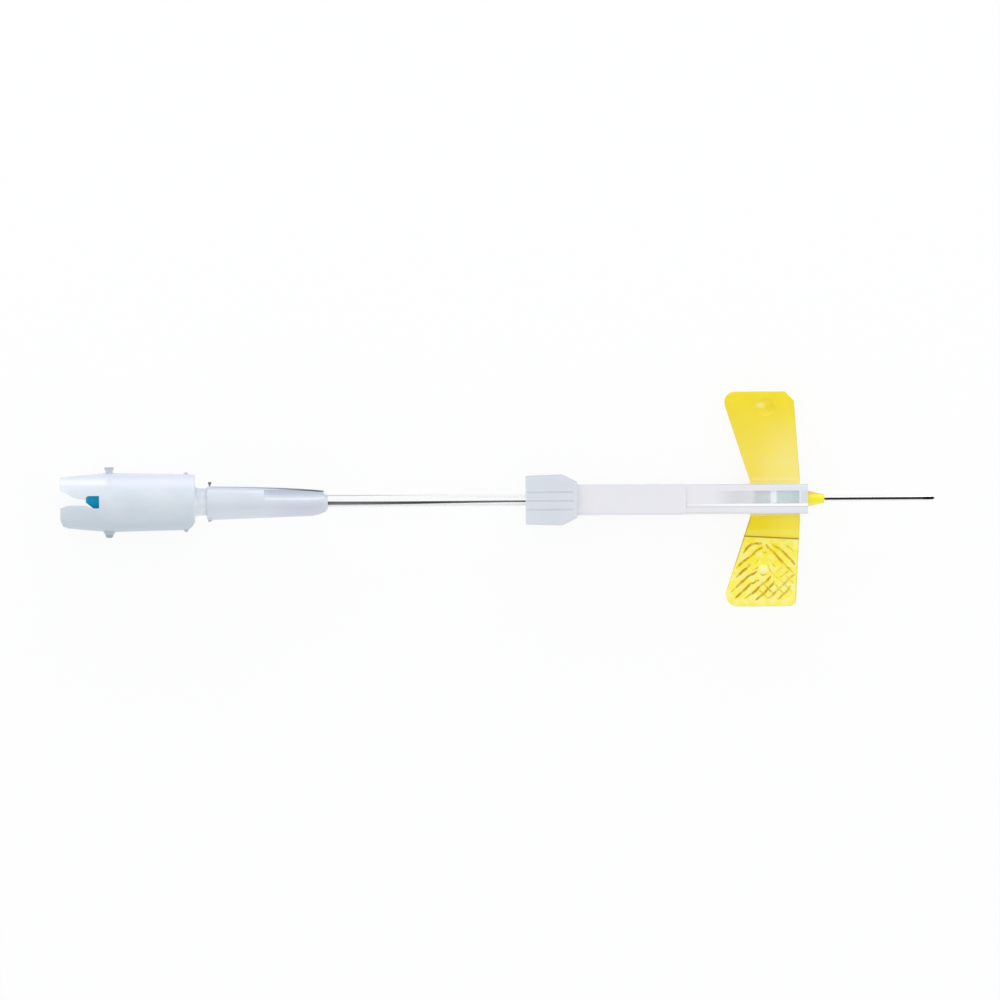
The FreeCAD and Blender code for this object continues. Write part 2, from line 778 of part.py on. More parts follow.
os.makedirs("parts", exist_ok=True)
for name, make in pieces.items():
    shape = make()
    solids = shape.Solids
    print(name, "solids", len(solids), "valid", shape.isValid(), "volume", round(shape.Volume, 2))
    (solids[0] if len(solids) == 1 else Part.makeCompound(solids)).exportStep(f"parts/{name}.step")

print("mouth", mouth_x, "tip", needle_tip_x, "hinge y", hinge_y, "needle z", needle_z, "hub z", hub_z)
print("sleeve travel", shield_travel, "male luer length", luer_male_length)
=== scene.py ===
# %% [markdown]
# # A safety butterfly needle
# This notebook dresses the packed model of a winged blood-collection needle. The set lies flat on a
# pale table: an adapter for a tube holder, a luer hub, a clear tube, a milky shield sleeve with its
# thumb grip, two soft yellow wings and a steel needle. The packed model is loaded first and never
# moved. Round and soft pieces are then modelled again with more care, and each gets its own finish.

# %% Load the packed model
import math

import bpy
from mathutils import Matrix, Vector


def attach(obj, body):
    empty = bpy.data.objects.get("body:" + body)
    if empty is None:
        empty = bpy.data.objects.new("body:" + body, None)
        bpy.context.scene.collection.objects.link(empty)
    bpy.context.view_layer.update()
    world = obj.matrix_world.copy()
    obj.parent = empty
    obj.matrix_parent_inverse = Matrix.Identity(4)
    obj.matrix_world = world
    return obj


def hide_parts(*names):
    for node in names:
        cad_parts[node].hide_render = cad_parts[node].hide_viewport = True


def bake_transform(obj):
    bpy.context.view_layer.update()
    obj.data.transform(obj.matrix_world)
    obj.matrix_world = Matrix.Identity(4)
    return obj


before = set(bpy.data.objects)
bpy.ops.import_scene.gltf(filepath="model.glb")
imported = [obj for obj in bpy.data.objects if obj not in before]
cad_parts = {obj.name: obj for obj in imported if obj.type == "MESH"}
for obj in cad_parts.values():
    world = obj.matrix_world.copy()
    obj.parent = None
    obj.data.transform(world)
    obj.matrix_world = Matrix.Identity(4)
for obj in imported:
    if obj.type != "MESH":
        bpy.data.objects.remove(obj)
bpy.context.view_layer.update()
bpy.ops.object.select_all(action="DESELECT")
MM = 0.001
WELD = 0.0005 * MM  # points closer than this are one point
HUB_Z = 5.1  # height of the adapter's and the hub's axis over the table, in millimetres
NEEDLE_Z = 4.1  # height of the needle's axis
print("nodes:", sorted(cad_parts))

# %% [markdown]
# ## The camera
# The photograph looks straight down from far away, so lines that are parallel on the object stay
# parallel in the picture. An orthographic camera does the same. It could be a long lens high above
# the table too, but then the adapter, which stands higher, would look a little too large. The set
# lies a third of a degree off level in the photograph, and the camera is turned by as much.

# %% Camera straight above the table
OFF_LEVEL = 0.00555  # radians
bpy.ops.object.camera_add(location=(0.43 * MM, 0.05 * MM, 0.6), rotation=(0, 0, -OFF_LEVEL))
camera = bpy.context.object
camera.name = "camera"
camera.data.type = "ORTHO"
camera.data.ortho_scale = 0.172
bpy.context.scene.camera = camera
bpy.context.scene.view_settings.view_transform = "Standard"
print("picture width in mm:", camera.data.ortho_scale / MM)

# %% [markdown]
# ## The tube
# The clear tube runs from the hub down into the shield sleeve, with one easy drop between the two
# heights. A free tube never has corners, so its line is one smooth NURBS curve through four chosen
# points. A pipe mesh could follow it too, but a curve's own bevel keeps the tube round, and the
# radius of its points gives its thickness.

# %% The tube's line
TUBE_RADIUS = 1.05 * MM
tube_points = [
    (-0.035925, 0, 0.0051), (-0.019425, 0, 0.0051), (0.001575, 0, 0.0041), (0.043025, 0, 0.0041),
]


def smooth_line(name, points, radii):
    """One NURBS curve through chosen points. The bevel is 1, so each radius is in metres."""
    line = bpy.data.curves.new(name, "CURVE")
    line.dimensions = "3D"
    run = line.splines.new("NURBS")
    run.points.add(len(points) - 1)
    for point, place, radius in zip(run.points, points, radii):
        point.co = (*place, 1)
        point.radius = radius
    run.order_u = 3
    run.use_endpoint_u = True
    run.resolution_u = 24
    line.bevel_depth = 1.0
    line.bevel_resolution = 12
    line.use_fill_caps = True
    piece = bpy.data.objects.new(name, line)
    bpy.context.scene.collection.objects.link(piece)
    return piece


clear_tube = smooth_line("clear_tube", tube_points, [TUBE_RADIUS] * len(tube_points))
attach(clear_tube, "needle_unit")
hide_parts("tube")
print("tube points:", len(tube_points))

# %% [markdown]
# ## Shader values as plain sums
# A finish is a tree of nodes. It could be linked by hand in the shader editor, but long sums are
# hard to read there, so here + - * on a value add the Math nodes.

# %% A colour and a shader value
def tint(red, green, blue):
    """A colour as it is read off a screen, 0 to 255, made linear."""
    parts = [part / 255 for part in (red, green, blue)]
    return tuple(p / 12.92 if p <= 0.04045 else ((p + 0.055) / 1.055) ** 2.4 for p in parts) + (1,)


class Value:
    """A shader value. Plain arithmetic on it adds the Math nodes."""

    def __init__(self, tree, socket):
        self.tree = tree
        self.socket = socket

    def math(self, operation, *terms):
        node = self.tree.nodes.new("ShaderNodeMath")
        node.operation = operation
        for place, term in zip(node.inputs, terms):
            if isinstance(term, Value):
                self.tree.links.new(term.socket, place)
            else:
                place.default_value = term
        return Value(self.tree, node.outputs[0])

    def __add__(self, other):
        return self.math("ADD", self, other)

    __radd__ = __add__

    def __mul__(self, other):
        return self.math("MULTIPLY", self, other)

    __rmul__ = __mul__

    def __sub__(self, other):
        return self.math("SUBTRACT", self, other)

    def __rsub__(self, other):
        return self.math("SUBTRACT", other, self)

    def __abs__(self):
        return self.math("ABSOLUTE", self)


print("white reads", [round(c, 3) for c in tint(255, 255, 255)])

# %% A finish
class Finish:
    """A surface made of nodes. add() puts in any node, with its settings first."""

    def __init__(self, name, tree=None):
        if tree is None:
            self.material = bpy.data.materials.new(name)
            self.material.use_nodes = True
            tree = self.material.node_tree
        self.tree = tree
        self.tree.nodes.clear()

    def add(self, kind, settings=None, **sockets):
        node = self.tree.nodes.new("ShaderNode" + kind)
        for key, setting in (settings or {}).items():
            setattr(node, key, setting)
        for key, term in sockets.items():
            by_number = key[1:].isdigit()
            place = node.inputs[int(key[1:]) if by_number else key.replace("_", " ")]
            if isinstance(term, Value):
                self.tree.links.new(term.socket, place)
            else:
                place.default_value = term
        return node

    def out(self, node, name=0):
        return Value(self.tree, node.outputs[name])

    def places(self):
        """Object coordinates in millimetres, as three values."""
        split = self.add("SeparateXYZ", Vector=self.out(self.add("TexCoord"), "Object"))
        return [self.out(split, axis) * 1000 for axis in "XYZ"]

    def ramp(self, value, low, high):
        """0 below low, 1 above high, smooth between."""
        node = self.add("MapRange", {"interpolation_type": "SMOOTHSTEP"},
                        Value=value, From_Min=low, From_Max=high)
        return self.out(node)

    def band(self, value, low, high, soft):
        """1 between low and high, with soft edges."""
        falls = self.ramp(value, high - soft, high + soft)
        return self.ramp(value, low - soft, low + soft) * (1 - falls)

    def mix(self, share, first, second):
        """A colour between two."""
        node = self.add("Mix", {"data_type": "RGBA"}, s0=share, s6=first, s7=second)
        return self.out(node, 2)

    def cloud(self, size, detail=2.0, stretch=(1, 1, 1)):
        """Soft noise between 0 and 1, its grain in millimetres."""
        turned = self.add("Mapping", Vector=self.out(self.add("TexCoord"), "Object"),
                          Scale=[1000 / size * s for s in stretch])
        return self.out(self.add("TexNoise", Vector=self.out(turned), Scale=1.0, Detail=detail))

    def dented(self, height, depth):
        """A bumped normal; depth is in metres."""
        return self.out(self.add("Bump", Height=height, Distance=depth, Strength=1.0))

    def layers(self, color, *rows):
        """Lays colours over one another; a row is a mask and a colour as read off a screen."""
        for mask, over in rows:
            color = self.mix(mask, color, tint(*over))
        return color

    def plastic(self, color, grain=0.3, depth=0.000004, **sockets):
        """The main shader and the output. The normal has a fine grain, if none is given."""
        if "Normal" not in sockets:
            sockets["Normal"] = self.dented(self.cloud(grain), depth)
        main = self.add("BsdfPrincipled", Base_Color=color, **sockets)
        self.add("OutputMaterial", Surface=self.out(main))
        return self.material


print("helpers:", [name for name in vars(Finish) if "__" not in name])

# %% [markdown]
# ## Table and light
# A packshot on white has almost no shadow. The table shows the camera its own white, and only a
# small share of what it shows is lit, so a faint shadow stays. A low, long window at the wing side
# makes the bright band along the adapter, together with a painted highlight, and the sky fills in
# the rest. Polished steel and clear plastic also need something dark to mirror, so for mirrored
# rays the sky is dark overhead and white at the horizon.

# %% The table
bpy.ops.mesh.primitive_plane_add(size=6, location=(0, 0, -0.02 * MM))
table = bpy.context.object
table.name = "table"
cover = Finish("table_white")
rays = cover.add("LightPath")
seen = cover.out(rays, "Is Camera Ray") + cover.out(rays, "Is Glossy Ray")
seen = seen + cover.out(rays, "Is Transmission Ray")
lit = cover.add("BsdfDiffuse", Color=tint(250, 250, 251))
own = cover.add("Emission", Color=tint(255, 255, 255), Strength=1.01)
mostly_own = cover.add("MixShader", s0=0.86, s1=cover.out(lit), s2=cover.out(own))
both = cover.add("MixShader", s0=seen, s1=cover.out(lit), s2=cover.out(mostly_own))
cover.add("OutputMaterial", Surface=cover.out(both))
table.data.materials.append(cover.material)
print("table:", table.dimensions[:])

# %% The sky
world = bpy.data.worlds.new("soft_sky")
bpy.context.scene.world = world
world.use_nodes = True
sky = Finish("sky", world.node_tree)
rays = sky.add("LightPath")
way = sky.add("SeparateXYZ", Vector=sky.out(sky.add("TexCoord"), "Generated"))
up = sky.out(way, "Z") - 0.1 * sky.out(way, "Y")
fill = sky.add("Background", Color=tint(252, 253, 255), Strength=0.86)
seen_white = sky.add("Background", Color=tint(255, 255, 255), Strength=1.0)
overhead = sky.ramp(up, 0.42, 0.76)
dark_above = sky.mix(overhead, tint(255, 255, 255), tint(44, 42, 41))
mirrored = sky.add("Background", Color=dark_above, Strength=1.0)
for_mirrors = sky.add(
    "MixShader", s0=sky.out(rays, "Is Glossy Ray"), s1=sky.out(fill), s2=sky.out(mirrored)
)
looked_at = sky.out(rays, "Is Camera Ray") + sky.out(rays, "Is Transmission Ray")
whole = sky.add("MixShader", s0=looked_at, s1=sky.out(for_mirrors), s2=sky.out(seen_white))
sky.add("OutputWorld", Surface=sky.out(whole))
print("sky nodes:", len(world.node_tree.nodes))

# %% The low window
bpy.ops.object.light_add(type="AREA", location=(-0.02, 0.55, 0.16))
window = bpy.context.object
window.name = "window_light"
window.data.shape = "RECTANGLE"
window.data.size = 0.9
window.data.size_y = 0.16
window.data.energy = 1.3
window.rotation_euler = (Vector((0, 0, 0)) - window.location).to_track_quat("-Z", "Y").to_euler()
print("window power:", window.data.energy)

# %% [markdown]
# ## Milky finishes
# The milky pieces are polypropylene: light goes a little way in, so they have soft edges and no
# hard shade. Each has a faint cloudiness in its colour and gloss, as moulded plastic has. Colours
# are read off the photograph and given as they should look under an even light. Darker rims,
# shaded sides and bright bands could be left to the light, but a packshot's even light loses them,
# so they are painted in by place, as painted shade and painted highlights.

# %% Milky plastic, and the thumb grip's with a rim of painted shade
def milky(finish, patches, color):
    """Milky plastic: a faint cloud in its gloss, and light goes a little way in."""
    return finish.plastic(
        color, 0.25, Roughness=0.34 + 0.08 * patches,
        Subsurface_Weight=0.2, Subsurface_Radius=(0.8, 0.9, 1.0), Subsurface_Scale=0.001, IOR=1.49,
    )


collar = Finish("collar_plastic")
x, y, z = collar.places()
patches = collar.cloud(5.0, 3.0)
color = collar.mix(collar.ramp(patches, 0.3, 0.7), tint(230, 234, 240), tint(226, 231, 237))
side = 4.2 + 0.032 * (x - 4.825)  # the grip's side in plan, and then its slanting shoulder
outline = side.math("MINIMUM", side, 4.4 - 0.5 * (x - 11.125))
# painted shade just inside the grip's outline
painted_edge_shade = collar.ramp(y - outline, -0.3, -0.12)
collar_plastic = milky(collar, patches, collar.mix(painted_edge_shade * 0.6, color, tint(168, 172, 178)))

# %% The adapter's plastic, with painted shade low on the side away from the window
shell = Finish("adapter_plastic")
x, y, z = shell.places()
patches = shell.cloud(5.0, 3.0)
color = shell.mix(shell.ramp(patches, 0.3, 0.7), tint(229, 236, 243), tint(222, 231, 239))
# painted shade low on the side away from the window, and some towards the top
color = shell.mix(shell.ramp(y, -1.0, -4.8), color, tint(204, 216, 224))
color = shell.mix(shell.ramp(y, 1.0, 4.9) * 0.8, color, tint(206, 211, 224))
# a painted highlight band along the upper side, broken at the lug
in_front = shell.ramp(x, -67.2, -66.6)
painted_shine = shell.ramp(y - (3.0 - 0.1 * in_front), -0.35, 0.3) * (1 - shell.ramp(y, 3.5, 4.5))
painted_shine_color = shell.mix(in_front, tint(238, 241, 250), tint(225, 230, 242))
color = shell.mix(painted_shine * (0.9 - 0.5 * shell.band(x, -67.3, -66.5, 0.3)), color, painted_shine_color)
# painted shade on the neck towards its top
neck_color = shell.mix(shell.ramp(y, -0.4, 2.0), tint(244, 248, 252), tint(212, 219, 229))
color = shell.mix(shell.ramp(x, -52.2, -51.8), color, neck_color)
# painted shade round the lugs and nubs, stronger on the side away from the window
painted_lug_shade = shell.ramp(x, -54.2, -53.9) * shell.ramp(abs(y), 4.95, 5.05)
painted_lug_shade = shell.ramp(abs(y), 5.45, 5.75) + painted_lug_shade
color = shell.mix(painted_lug_shade * (0.55 - 0.3 * shell.ramp(y, -1.0, 1.0)), color, tint(150, 156, 162))
adapter_plastic = milky(shell, patches, color)

# %% The hub's plastic, with a thin line of painted shade along the edges of its flat side
def flat_edge(x):
    """How far out the hub's flat side is at x, in millimetres. It bows in towards the tube."""
    run = x + 50.2
    return 2.66 - 0.014 * run - 0.000062 * run * run * run


hub = Finish("hub_plastic")
x, y, z = hub.places()
from_flat = y - flat_edge(x)
line_width = 0.12 + 0.16 * hub.ramp(x, -48.0, -31.0)
painted_hub_edge_shade = hub.ramp(from_flat + line_width, -0.06, 0.04) * (1 - hub.ramp(from_flat, 0.05, 0.1))
painted_hub_edge_shade = painted_hub_edge_shade * hub.ramp(x, -49.3, -48.6) * (0.5 + 0.35 * hub.ramp(x, -44.0, -32.0))
# painted shade on the tee ear and on the ramp ear
painted_hub_edge_shade = painted_hub_edge_shade + 0.55 * hub.ramp(y, 2.7, 2.8) + 0.35 * hub.ramp(y, 3.05, 3.15)
painted_hub_edge_shade = painted_hub_edge_shade + 0.5 * hub.ramp(y, -3.12, -3.2)
# painted highlights on the ramps where the troughs begin
painted_ramp_highlights = hub.band(y, 1.5, 1.85, 0.25) * hub.band(x, -43.0, -40.4, 0.7)
painted_ramp_highlights = painted_ramp_highlights + hub.band(y, 0.95, 1.15, 0.2) * hub.band(x, -42.0, -40.4, 0.7)
# painted shade in the top trough, and a painted highlight on the ridge beside it
painted_hollow_shade = hub.ramp(x, -40.3, -39.0) * hub.ramp(y, 0.55, 0.75)
painted_ridge_highlight = hub.ramp(x, -40.0, -38.5) * hub.band(y, 0.2, 0.46, 0.1) * hub.ramp(x, -29.2, -30.0)
patches = hub.cloud(5.0, 3.0)
color = hub.mix(hub.ramp(patches, 0.3, 0.7), tint(228, 234, 242), tint(223, 230, 238))
# more painted shade: low in front, towards the top and near the flat
color = hub.layers(
    color,
    (hub.ramp(x, -41.0, -33.0) * hub.ramp(y, 0.6, -1.4), (219, 223, 234)),
    (hub.ramp(y, 0.2, 2.2) * 0.8, (210, 219, 228)),
    (hub.ramp(from_flat, -0.75, -0.3) * 0.8, (192, 201, 214)),
    (painted_hollow_shade * 0.85, (199, 207, 218)),
    (painted_ridge_highlight * 0.55, (232, 237, 246)),
    (painted_ramp_highlights * 0.3, (244, 248, 254)),
    (painted_hub_edge_shade, (84, 87, 94)),
)
hub_plastic = milky(hub, patches, color)
print("milky plastics:", adapter_plastic.name, hub_plastic.name, collar_plastic.name)

# %% [markdown]
# ## Rubber, steel and clear plastic
# Clear plastic could bend light like glass, which is slow and noisy in so thin a wall. A nearly
# see-through surface with denser edges looks the same. The barrel behind the sleeve glows a little,
# in place of the light that would come through two walls.

# %% Teal rubber
teal = Finish("teal_rubber")
worn = teal.cloud(1.2, 3.0)
x, y, z = teal.places()
# lighter towards the window, as painted light; a glow of painted light lifts it deep in its pocket
teal_color = teal.mix(teal.ramp(y, -1.0, 0.9), tint(0, 134, 172), tint(8, 162, 190))
teal_color = teal.mix(0.3 * worn, teal_color, tint(0, 124, 160))
teal_rubber = teal.plastic(
    teal_color, 0.2, Roughness=0.42 + 0.12 * worn,
    Emission_Color=teal_color, Emission_Strength=0.4,
)

print("rubber:", teal_rubber.name)

# %% Steel, drawn lengthwise
bright = Finish("steel")
x, y, z = bright.places()
drawn = bright.cloud(0.12, 2.0, (0.02, 1, 1))
steel_color = bright.mix(bright.ramp(drawn, 0.35, 0.65), tint(244, 244, 246), tint(236, 237, 240))
# a painted reflection: the ground point is painted dark
painted_tip_reflection = bright.ramp(x, 73.15, 73.25) * (1 - bright.ramp(abs(y), 0.2, 0.3)) * 0.9
steel = bright.plastic(
    bright.mix(painted_tip_reflection, steel_color, tint(84, 79, 78)),
    Metallic=1.0, Roughness=0.1 + 0.02 * drawn, Normal=bright.dented(drawn, 0.0000002),
)

print("metal:", steel.name)

# %% The tube's clear plastic
clear = Finish("clear_tube")
x, y, z = clear.places()
along = clear.cloud(6.0, 2.0)
edge = clear.out(clear.add("LayerWeight", Blend=0.3), "Facing")
wall = clear.ramp(edge, 0.55, 1.0)
# painted shade: grey lines along the tube's edges, the upper one fading towards the sleeve
painted_far_edge_shade = clear.ramp(y, 0.86, 0.97) * (1 - 0.85 * clear.ramp(x, -26.0, -4.0))
painted_near_edge_shade = 0.4 * clear.band(y, 0.5, 0.8, 0.15) * clear.ramp(x, -18.0, -2.0)
painted_near_edge_shade = clear.band(y, -0.85, -0.55, 0.2) + painted_near_edge_shade
tube_plastic = clear.plastic(
    clear.mix(painted_far_edge_shade, tint(226, 227, 229), tint(120, 122, 126)),
    Roughness=0.08 + 0.04 * along, Alpha=0.04 + 0.12 * wall + 0.5 * painted_far_edge_shade + 0.35 * painted_near_edge_shade,
    Normal=clear.dented(along, 0.000004), IOR=1.45,
)
clear_tube.data.materials.append(tube_plastic)

print("clear tube:", tube_plastic.name)

# %% The barrel's bluish plastic and its lighter rib
inner = Finish("barrel_plastic")
x, y, z = inner.places()
rib = inner.band(x, 47.0, 48.0, 0.08)
ahead = inner.ramp(x, 47.0, 48.2)
body = inner.mix(ahead, tint(183, 198, 196), tint(178, 203, 201))
body = inner.mix(rib, body, tint(240, 246, 245))
barrel_plastic = inner.plastic(
    body, depth=0.000003, Roughness=0.2 + 0.1 * inner.cloud(0.8),
    Emission_Color=body, Emission_Strength=0.55,
)
print("barrel:", barrel_plastic.name)

# %% [markdown]
# ## The shield sleeve's finish
# The wall is thin over the cavity, and the barrel shows through. It could be an open window, but it
# is closed on the real one, so the plastic is partly see-through there.

# %% Milky plastic, thin over the cavity
milk = Finish("sleeve_plastic")
x, y, z = milk.places()
over_cavity = milk.band(y, -0.78, 1.4, 0.04)
thin = 0.3 * milk.ramp(x, 37.0, 41.5) + 0.7 * milk.ramp(x, 43.6, 44.9)
thin = thin * (1 - milk.ramp(x, 51.86, 51.94)) * over_cavity
patches = milk.cloud(6.0, 3.0)
cool = milk.ramp(x, 44.0, 53.0)
color = milk.mix(cool, tint(246, 245, 249), tint(240, 244, 250))
front_part = milk.ramp(x, 32.4, 32.6)
above = milk.ramp(z, 5.8, 6.2)
# a painted highlight on the ledge below the cavity, with a line of painted shade under it
painted_ledge_highlight = front_part * above * milk.band(y, -1.16, -0.88, 0.06)
shade_line = front_part * above * milk.band(y, -1.42, -1.26, 0.07)
color = milk.layers(
    color,
    (milk.ramp(patches, 0.3, 0.7) * 0.3, (240, 241, 246)),
    (above * over_cavity * milk.ramp(x, 52.2, 52.3) * 0.6, (222, 231, 231)),
    # painted shade on the upper rim, fading towards the front
    (milk.ramp(y, 2.2, 2.5) * (0.5 - 0.4 * cool), (190, 191, 198)),
    (painted_ledge_highlight, (255, 255, 255)),
    (shade_line * 0.5, (205, 206, 208)),
)
# the ledge glows a little too: painted light
painted_shine = milk.mix(painted_ledge_highlight, tint(0, 0, 0), tint(255, 255, 255))
sleeve_plastic = milk.plastic(
    color, depth=0.000003, Roughness=0.3 + 0.1 * patches, Alpha=1 - 0.66 * thin,
    Emission_Color=painted_shine, Emission_Strength=0.2,
)
print("sleeve finish made")

# %% [markdown]
# ## The wings' finish
# The soft yellow plastic is paler in places, partly painted light against the sleeve's shade, and
# painted shade deepens it in creases, grooves and along edges. Masks could be drawn by hand;
# worked out from the wings' outline, they fit the shapes exactly.

# %% The wings' outline, and what all the yellow plastic has
REAR_START = (43.575, 2.67)  # where the rear edge leaves the sleeve
REAR_SWEEP = 5.2  # how far back the rear edge runs
FRONT_START = (52.025, 3.47)
TIP_Y = 18.5
BUMP = (45.675, 12.2)


def crease_y(x):
    """How far out the crease between root and pad is at x, in millimetres."""
    return 6.46 + 0.0555 * (x - 43.375)


def before_rear(x, out):
    """How far in front of the rear edge a place is."""
    slope = REAR_SWEEP / (TIP_Y - REAR_START[1])
    return (x - REAR_START[0]) + (out - REAR_START[1]) * slope


def apart(x, y, place, squeeze=1.0):
    """The squared distance from a place in plan, in square millimetres."""
    return (x - place[0]) * (x - place[0]) + (y - place[1]) * (y - place[1]) * squeeze


def soft_yellow(finish, color, painted_glow=0.06):
    """The wings' plastic: soft, a little cloudy, a little light goes in, and it has a painted glow.
    """
    x, y, z = finish.places()
    out = abs(y)
    past_front = (x - FRONT_START[0]) + (out - FRONT_START[1]) * 0.06
    # painted shade along the rear and front edges
    painted_edge_shade = (1 - finish.ramp(before_rear(x, out), 0.04, 0.16)) * 0.45
    painted_edge_shade = painted_edge_shade + finish.ramp(past_front, -0.2, -0.1) * 0.3
    color = finish.mix(painted_edge_shade, color, tint(214, 178, 30))
    return finish.plastic(
        color, Roughness=0.38 + 0.1 * finish.cloud(3.0),
        Emission_Color=color, Emission_Strength=painted_glow,
        Subsurface_Weight=0.12, Subsurface_Radius=(1.0, 0.95, 0.3), Subsurface_Scale=0.0006,
    )


print("crease at the front edge:", round(crease_y(FRONT_START[0]), 2))

# %% The smooth wing, paler towards the sleeve, with painted highlight and shade at its dimple
upper = Finish("wing_yellow_upper")
x, y, z = upper.places()
color = upper.mix(upper.ramp(y, 17.5, 4.0), tint(246, 224, 34), tint(254, 230, 92))
inner_front = upper.ramp(x, 43.5, 50.5) * (1 - upper.ramp(y, 6.0, 16.0))
pale = upper.band(y, 3.2, 7.0, 0.5) * upper.band(x, 45.5, 51.5, 1.2)
cloudy = upper.ramp(upper.cloud(3.5, 3.0), 0.35, 0.75)
# a painted highlight on the dimple's near side and painted shade beyond it
painted_dimple_highlight = 1 - upper.ramp(apart(x, y, (45.3, 16.15), 2.0), 0.1, 0.9)
painted_dimple_shade = 1 - upper.ramp(apart(x, y, (47.1, 15.7), 2.0), 0.2, 1.4)
color = upper.layers(
    color,
    (inner_front, (255, 236, 128)),
    (pale * 0.3, (255, 238, 146)),
    (cloudy * 0.25, (252, 234, 80)),
    (painted_dimple_highlight * 0.6, (255, 244, 150)),
    (painted_dimple_shade * 0.35, (232, 204, 40)),
    # painted light beside the sleeve, against the sleeve's shade
    ((1 - upper.ramp(y, 3.1, 3.9)) * 0.4, (255, 247, 184)),
)
upper_yellow = soft_yellow(upper, color)
print("smooth wing:", upper_yellow.name)

# %% The gripping wing, with painted shade in its grooves and its crease
lower = Finish("wing_yellow_lower")
x, y, z = lower.places()
out = abs(y)
beyond = out - crease_y(x)
root = lower.mix(lower.ramp(x, 44.5, 51.5), tint(248, 224, 6), tint(255, 234, 70))
root = lower.mix(lower.band(out, 5.3, 6.4, 0.3) * 0.35, root, tint(255, 244, 110))
pad = lower.mix(lower.ramp(out, 8.0, 17.5), tint(255, 238, 44), tint(255, 242, 96))
pad = lower.mix(lower.ramp(x, 47.5, 50.5) * 0.5, pad, tint(255, 246, 120))
pad = lower.mix(lower.ramp(lower.cloud(1.4, 3.0), 0.42, 0.62) * 0.5, pad, tint(255, 250, 168))
in_pad = lower.ramp(beyond, 0.0, 0.15)
color = lower.mix(in_pad, root, pad)
patchy = 0.45 + 0.75 * lower.ramp(lower.cloud(1.1, 2.0), 0.35, 0.65)
# painted shade in the grooves, deepest at their bottoms and patchy along them
groove = (1 - lower.ramp(z, 4.58, 4.695)) * lower.ramp(z, 4.0, 4.3)
groove = groove * lower.ramp(beyond, 0.35, 0.5)
groove = groove * (1 - 0.35 * lower.ramp(x, 46.5, 48.5) * lower.ramp(out, 11.0, 13.0))
groove_shade_gold = lower.mix(lower.ramp(x, 45.5, 48.0), tint(208, 172, 12), tint(218, 184, 16))
color = lower.mix(groove * patchy, color, groove_shade_gold)
# a painted highlight on the bump
painted_bump_highlight = (1 - lower.ramp(apart(x, out, BUMP), 0.2, 0.8)) * in_pad
color = lower.mix(painted_bump_highlight * 0.5, color, tint(255, 252, 190))
# painted shade along the crease
crease = lower.band(beyond, -0.12, 0.1, 0.06) * lower.ramp(z, 4.2, 4.4)
color = lower.mix(crease * 0.95, color, tint(170, 132, 10))
rear_shade = (1 - lower.ramp(before_rear(x, out), 0.12, 0.32)) * (1 - lower.ramp(out, 10.0, 13.0))
color = lower.mix(rear_shade * 0.55, color, tint(178, 148, 10))
lower_yellow = soft_yellow(lower, color, 0.1)
print("gripping wing:", lower_yellow.name)

# %% The nose and the rails between the wings
root_yellow = Finish("nose_yellow")
x, y, z = root_yellow.places()
on_nose = root_yellow.ramp(x, 53.2, 53.5)
# painted shade along one edge of the nose and a painted highlight along the other; its glow is
# painted light
edge = root_yellow.ramp(y, 0.4, 0.95) * on_nose
nose_color = root_yellow.mix(on_nose, tint(254, 236, 126), tint(255, 243, 50))
nose_color = root_yellow.mix(edge * 0.9, nose_color, tint(222, 190, 66))
painted_nose_highlight = on_nose * root_yellow.ramp(y, -0.4, -1.1)
nose_color = root_yellow.mix(painted_nose_highlight * 0.5, nose_color, tint(255, 240, 150))
nose_yellow = root_yellow.plastic(
    nose_color, Roughness=0.35 + 0.1 * root_yellow.cloud(1.0),
    Emission_Color=nose_color, Emission_Strength=0.08,
)
print("nose:", nose_yellow.name)

# %% [markdown]
# ## Lathe, slab and cutter
# Most pieces here are turned or flat. A turned piece is drawn as one line, point by point from a
# primitive merged to a single point, and then spun about the axis. A flat one is drawn as a closed
# outline, filled and pulled up. Boolean modifiers then cut slots, bores and grooves. Each tool is a
# small helper, because the same moves come back for every piece.

# %% Draw a line, spin it or pull it up
def eased(corners, steps=6):
    """Corners (u, v) or (u, v, radius) as points, with each round as a short arc."""
    points = []
    for i, corner in enumerate(corners):
        here = Vector(corner[:2])
        if len(corner) < 3:
            points.append(here)
            continue
        back = (Vector(corners[i - 1][:2]) - here).normalized()
        on = (Vector(corners[(i + 1) % len(corners)][:2]) - here).normalized()
        half = back.angle(on) / 2
        middle = here + (back + on).normalized() * (corner[2] / math.sin(half))
        start = here + back * (corner[2] / math.tan(half)) - middle
        turn = start.angle_signed(here + on * (corner[2] / math.tan(half)) - middle)
        for step in range(steps + 1):
            angle = -turn * step / steps
            points.append(middle + Vector((
                start.x * math.cos(angle) - start.y * math.sin(angle),
                start.x * math.sin(angle) + start.y * math.cos(angle),
            )))
    return points


def only(piece):
    """Makes one object the active and the only selected one."""
    if bpy.context.object and bpy.context.object.mode == "EDIT":
        bpy.ops.object.mode_set(mode="OBJECT")
    bpy.ops.object.select_all(action="DESELECT")
    bpy.context.view_layer.objects.active = piece
    piece.select_set(True)
    return piece


def edit(piece):
    """Opens one object in edit mode, with all of it selected."""
    only(piece)
    bpy.ops.object.mode_set(mode="EDIT")
    bpy.ops.mesh.select_all(action="SELECT")


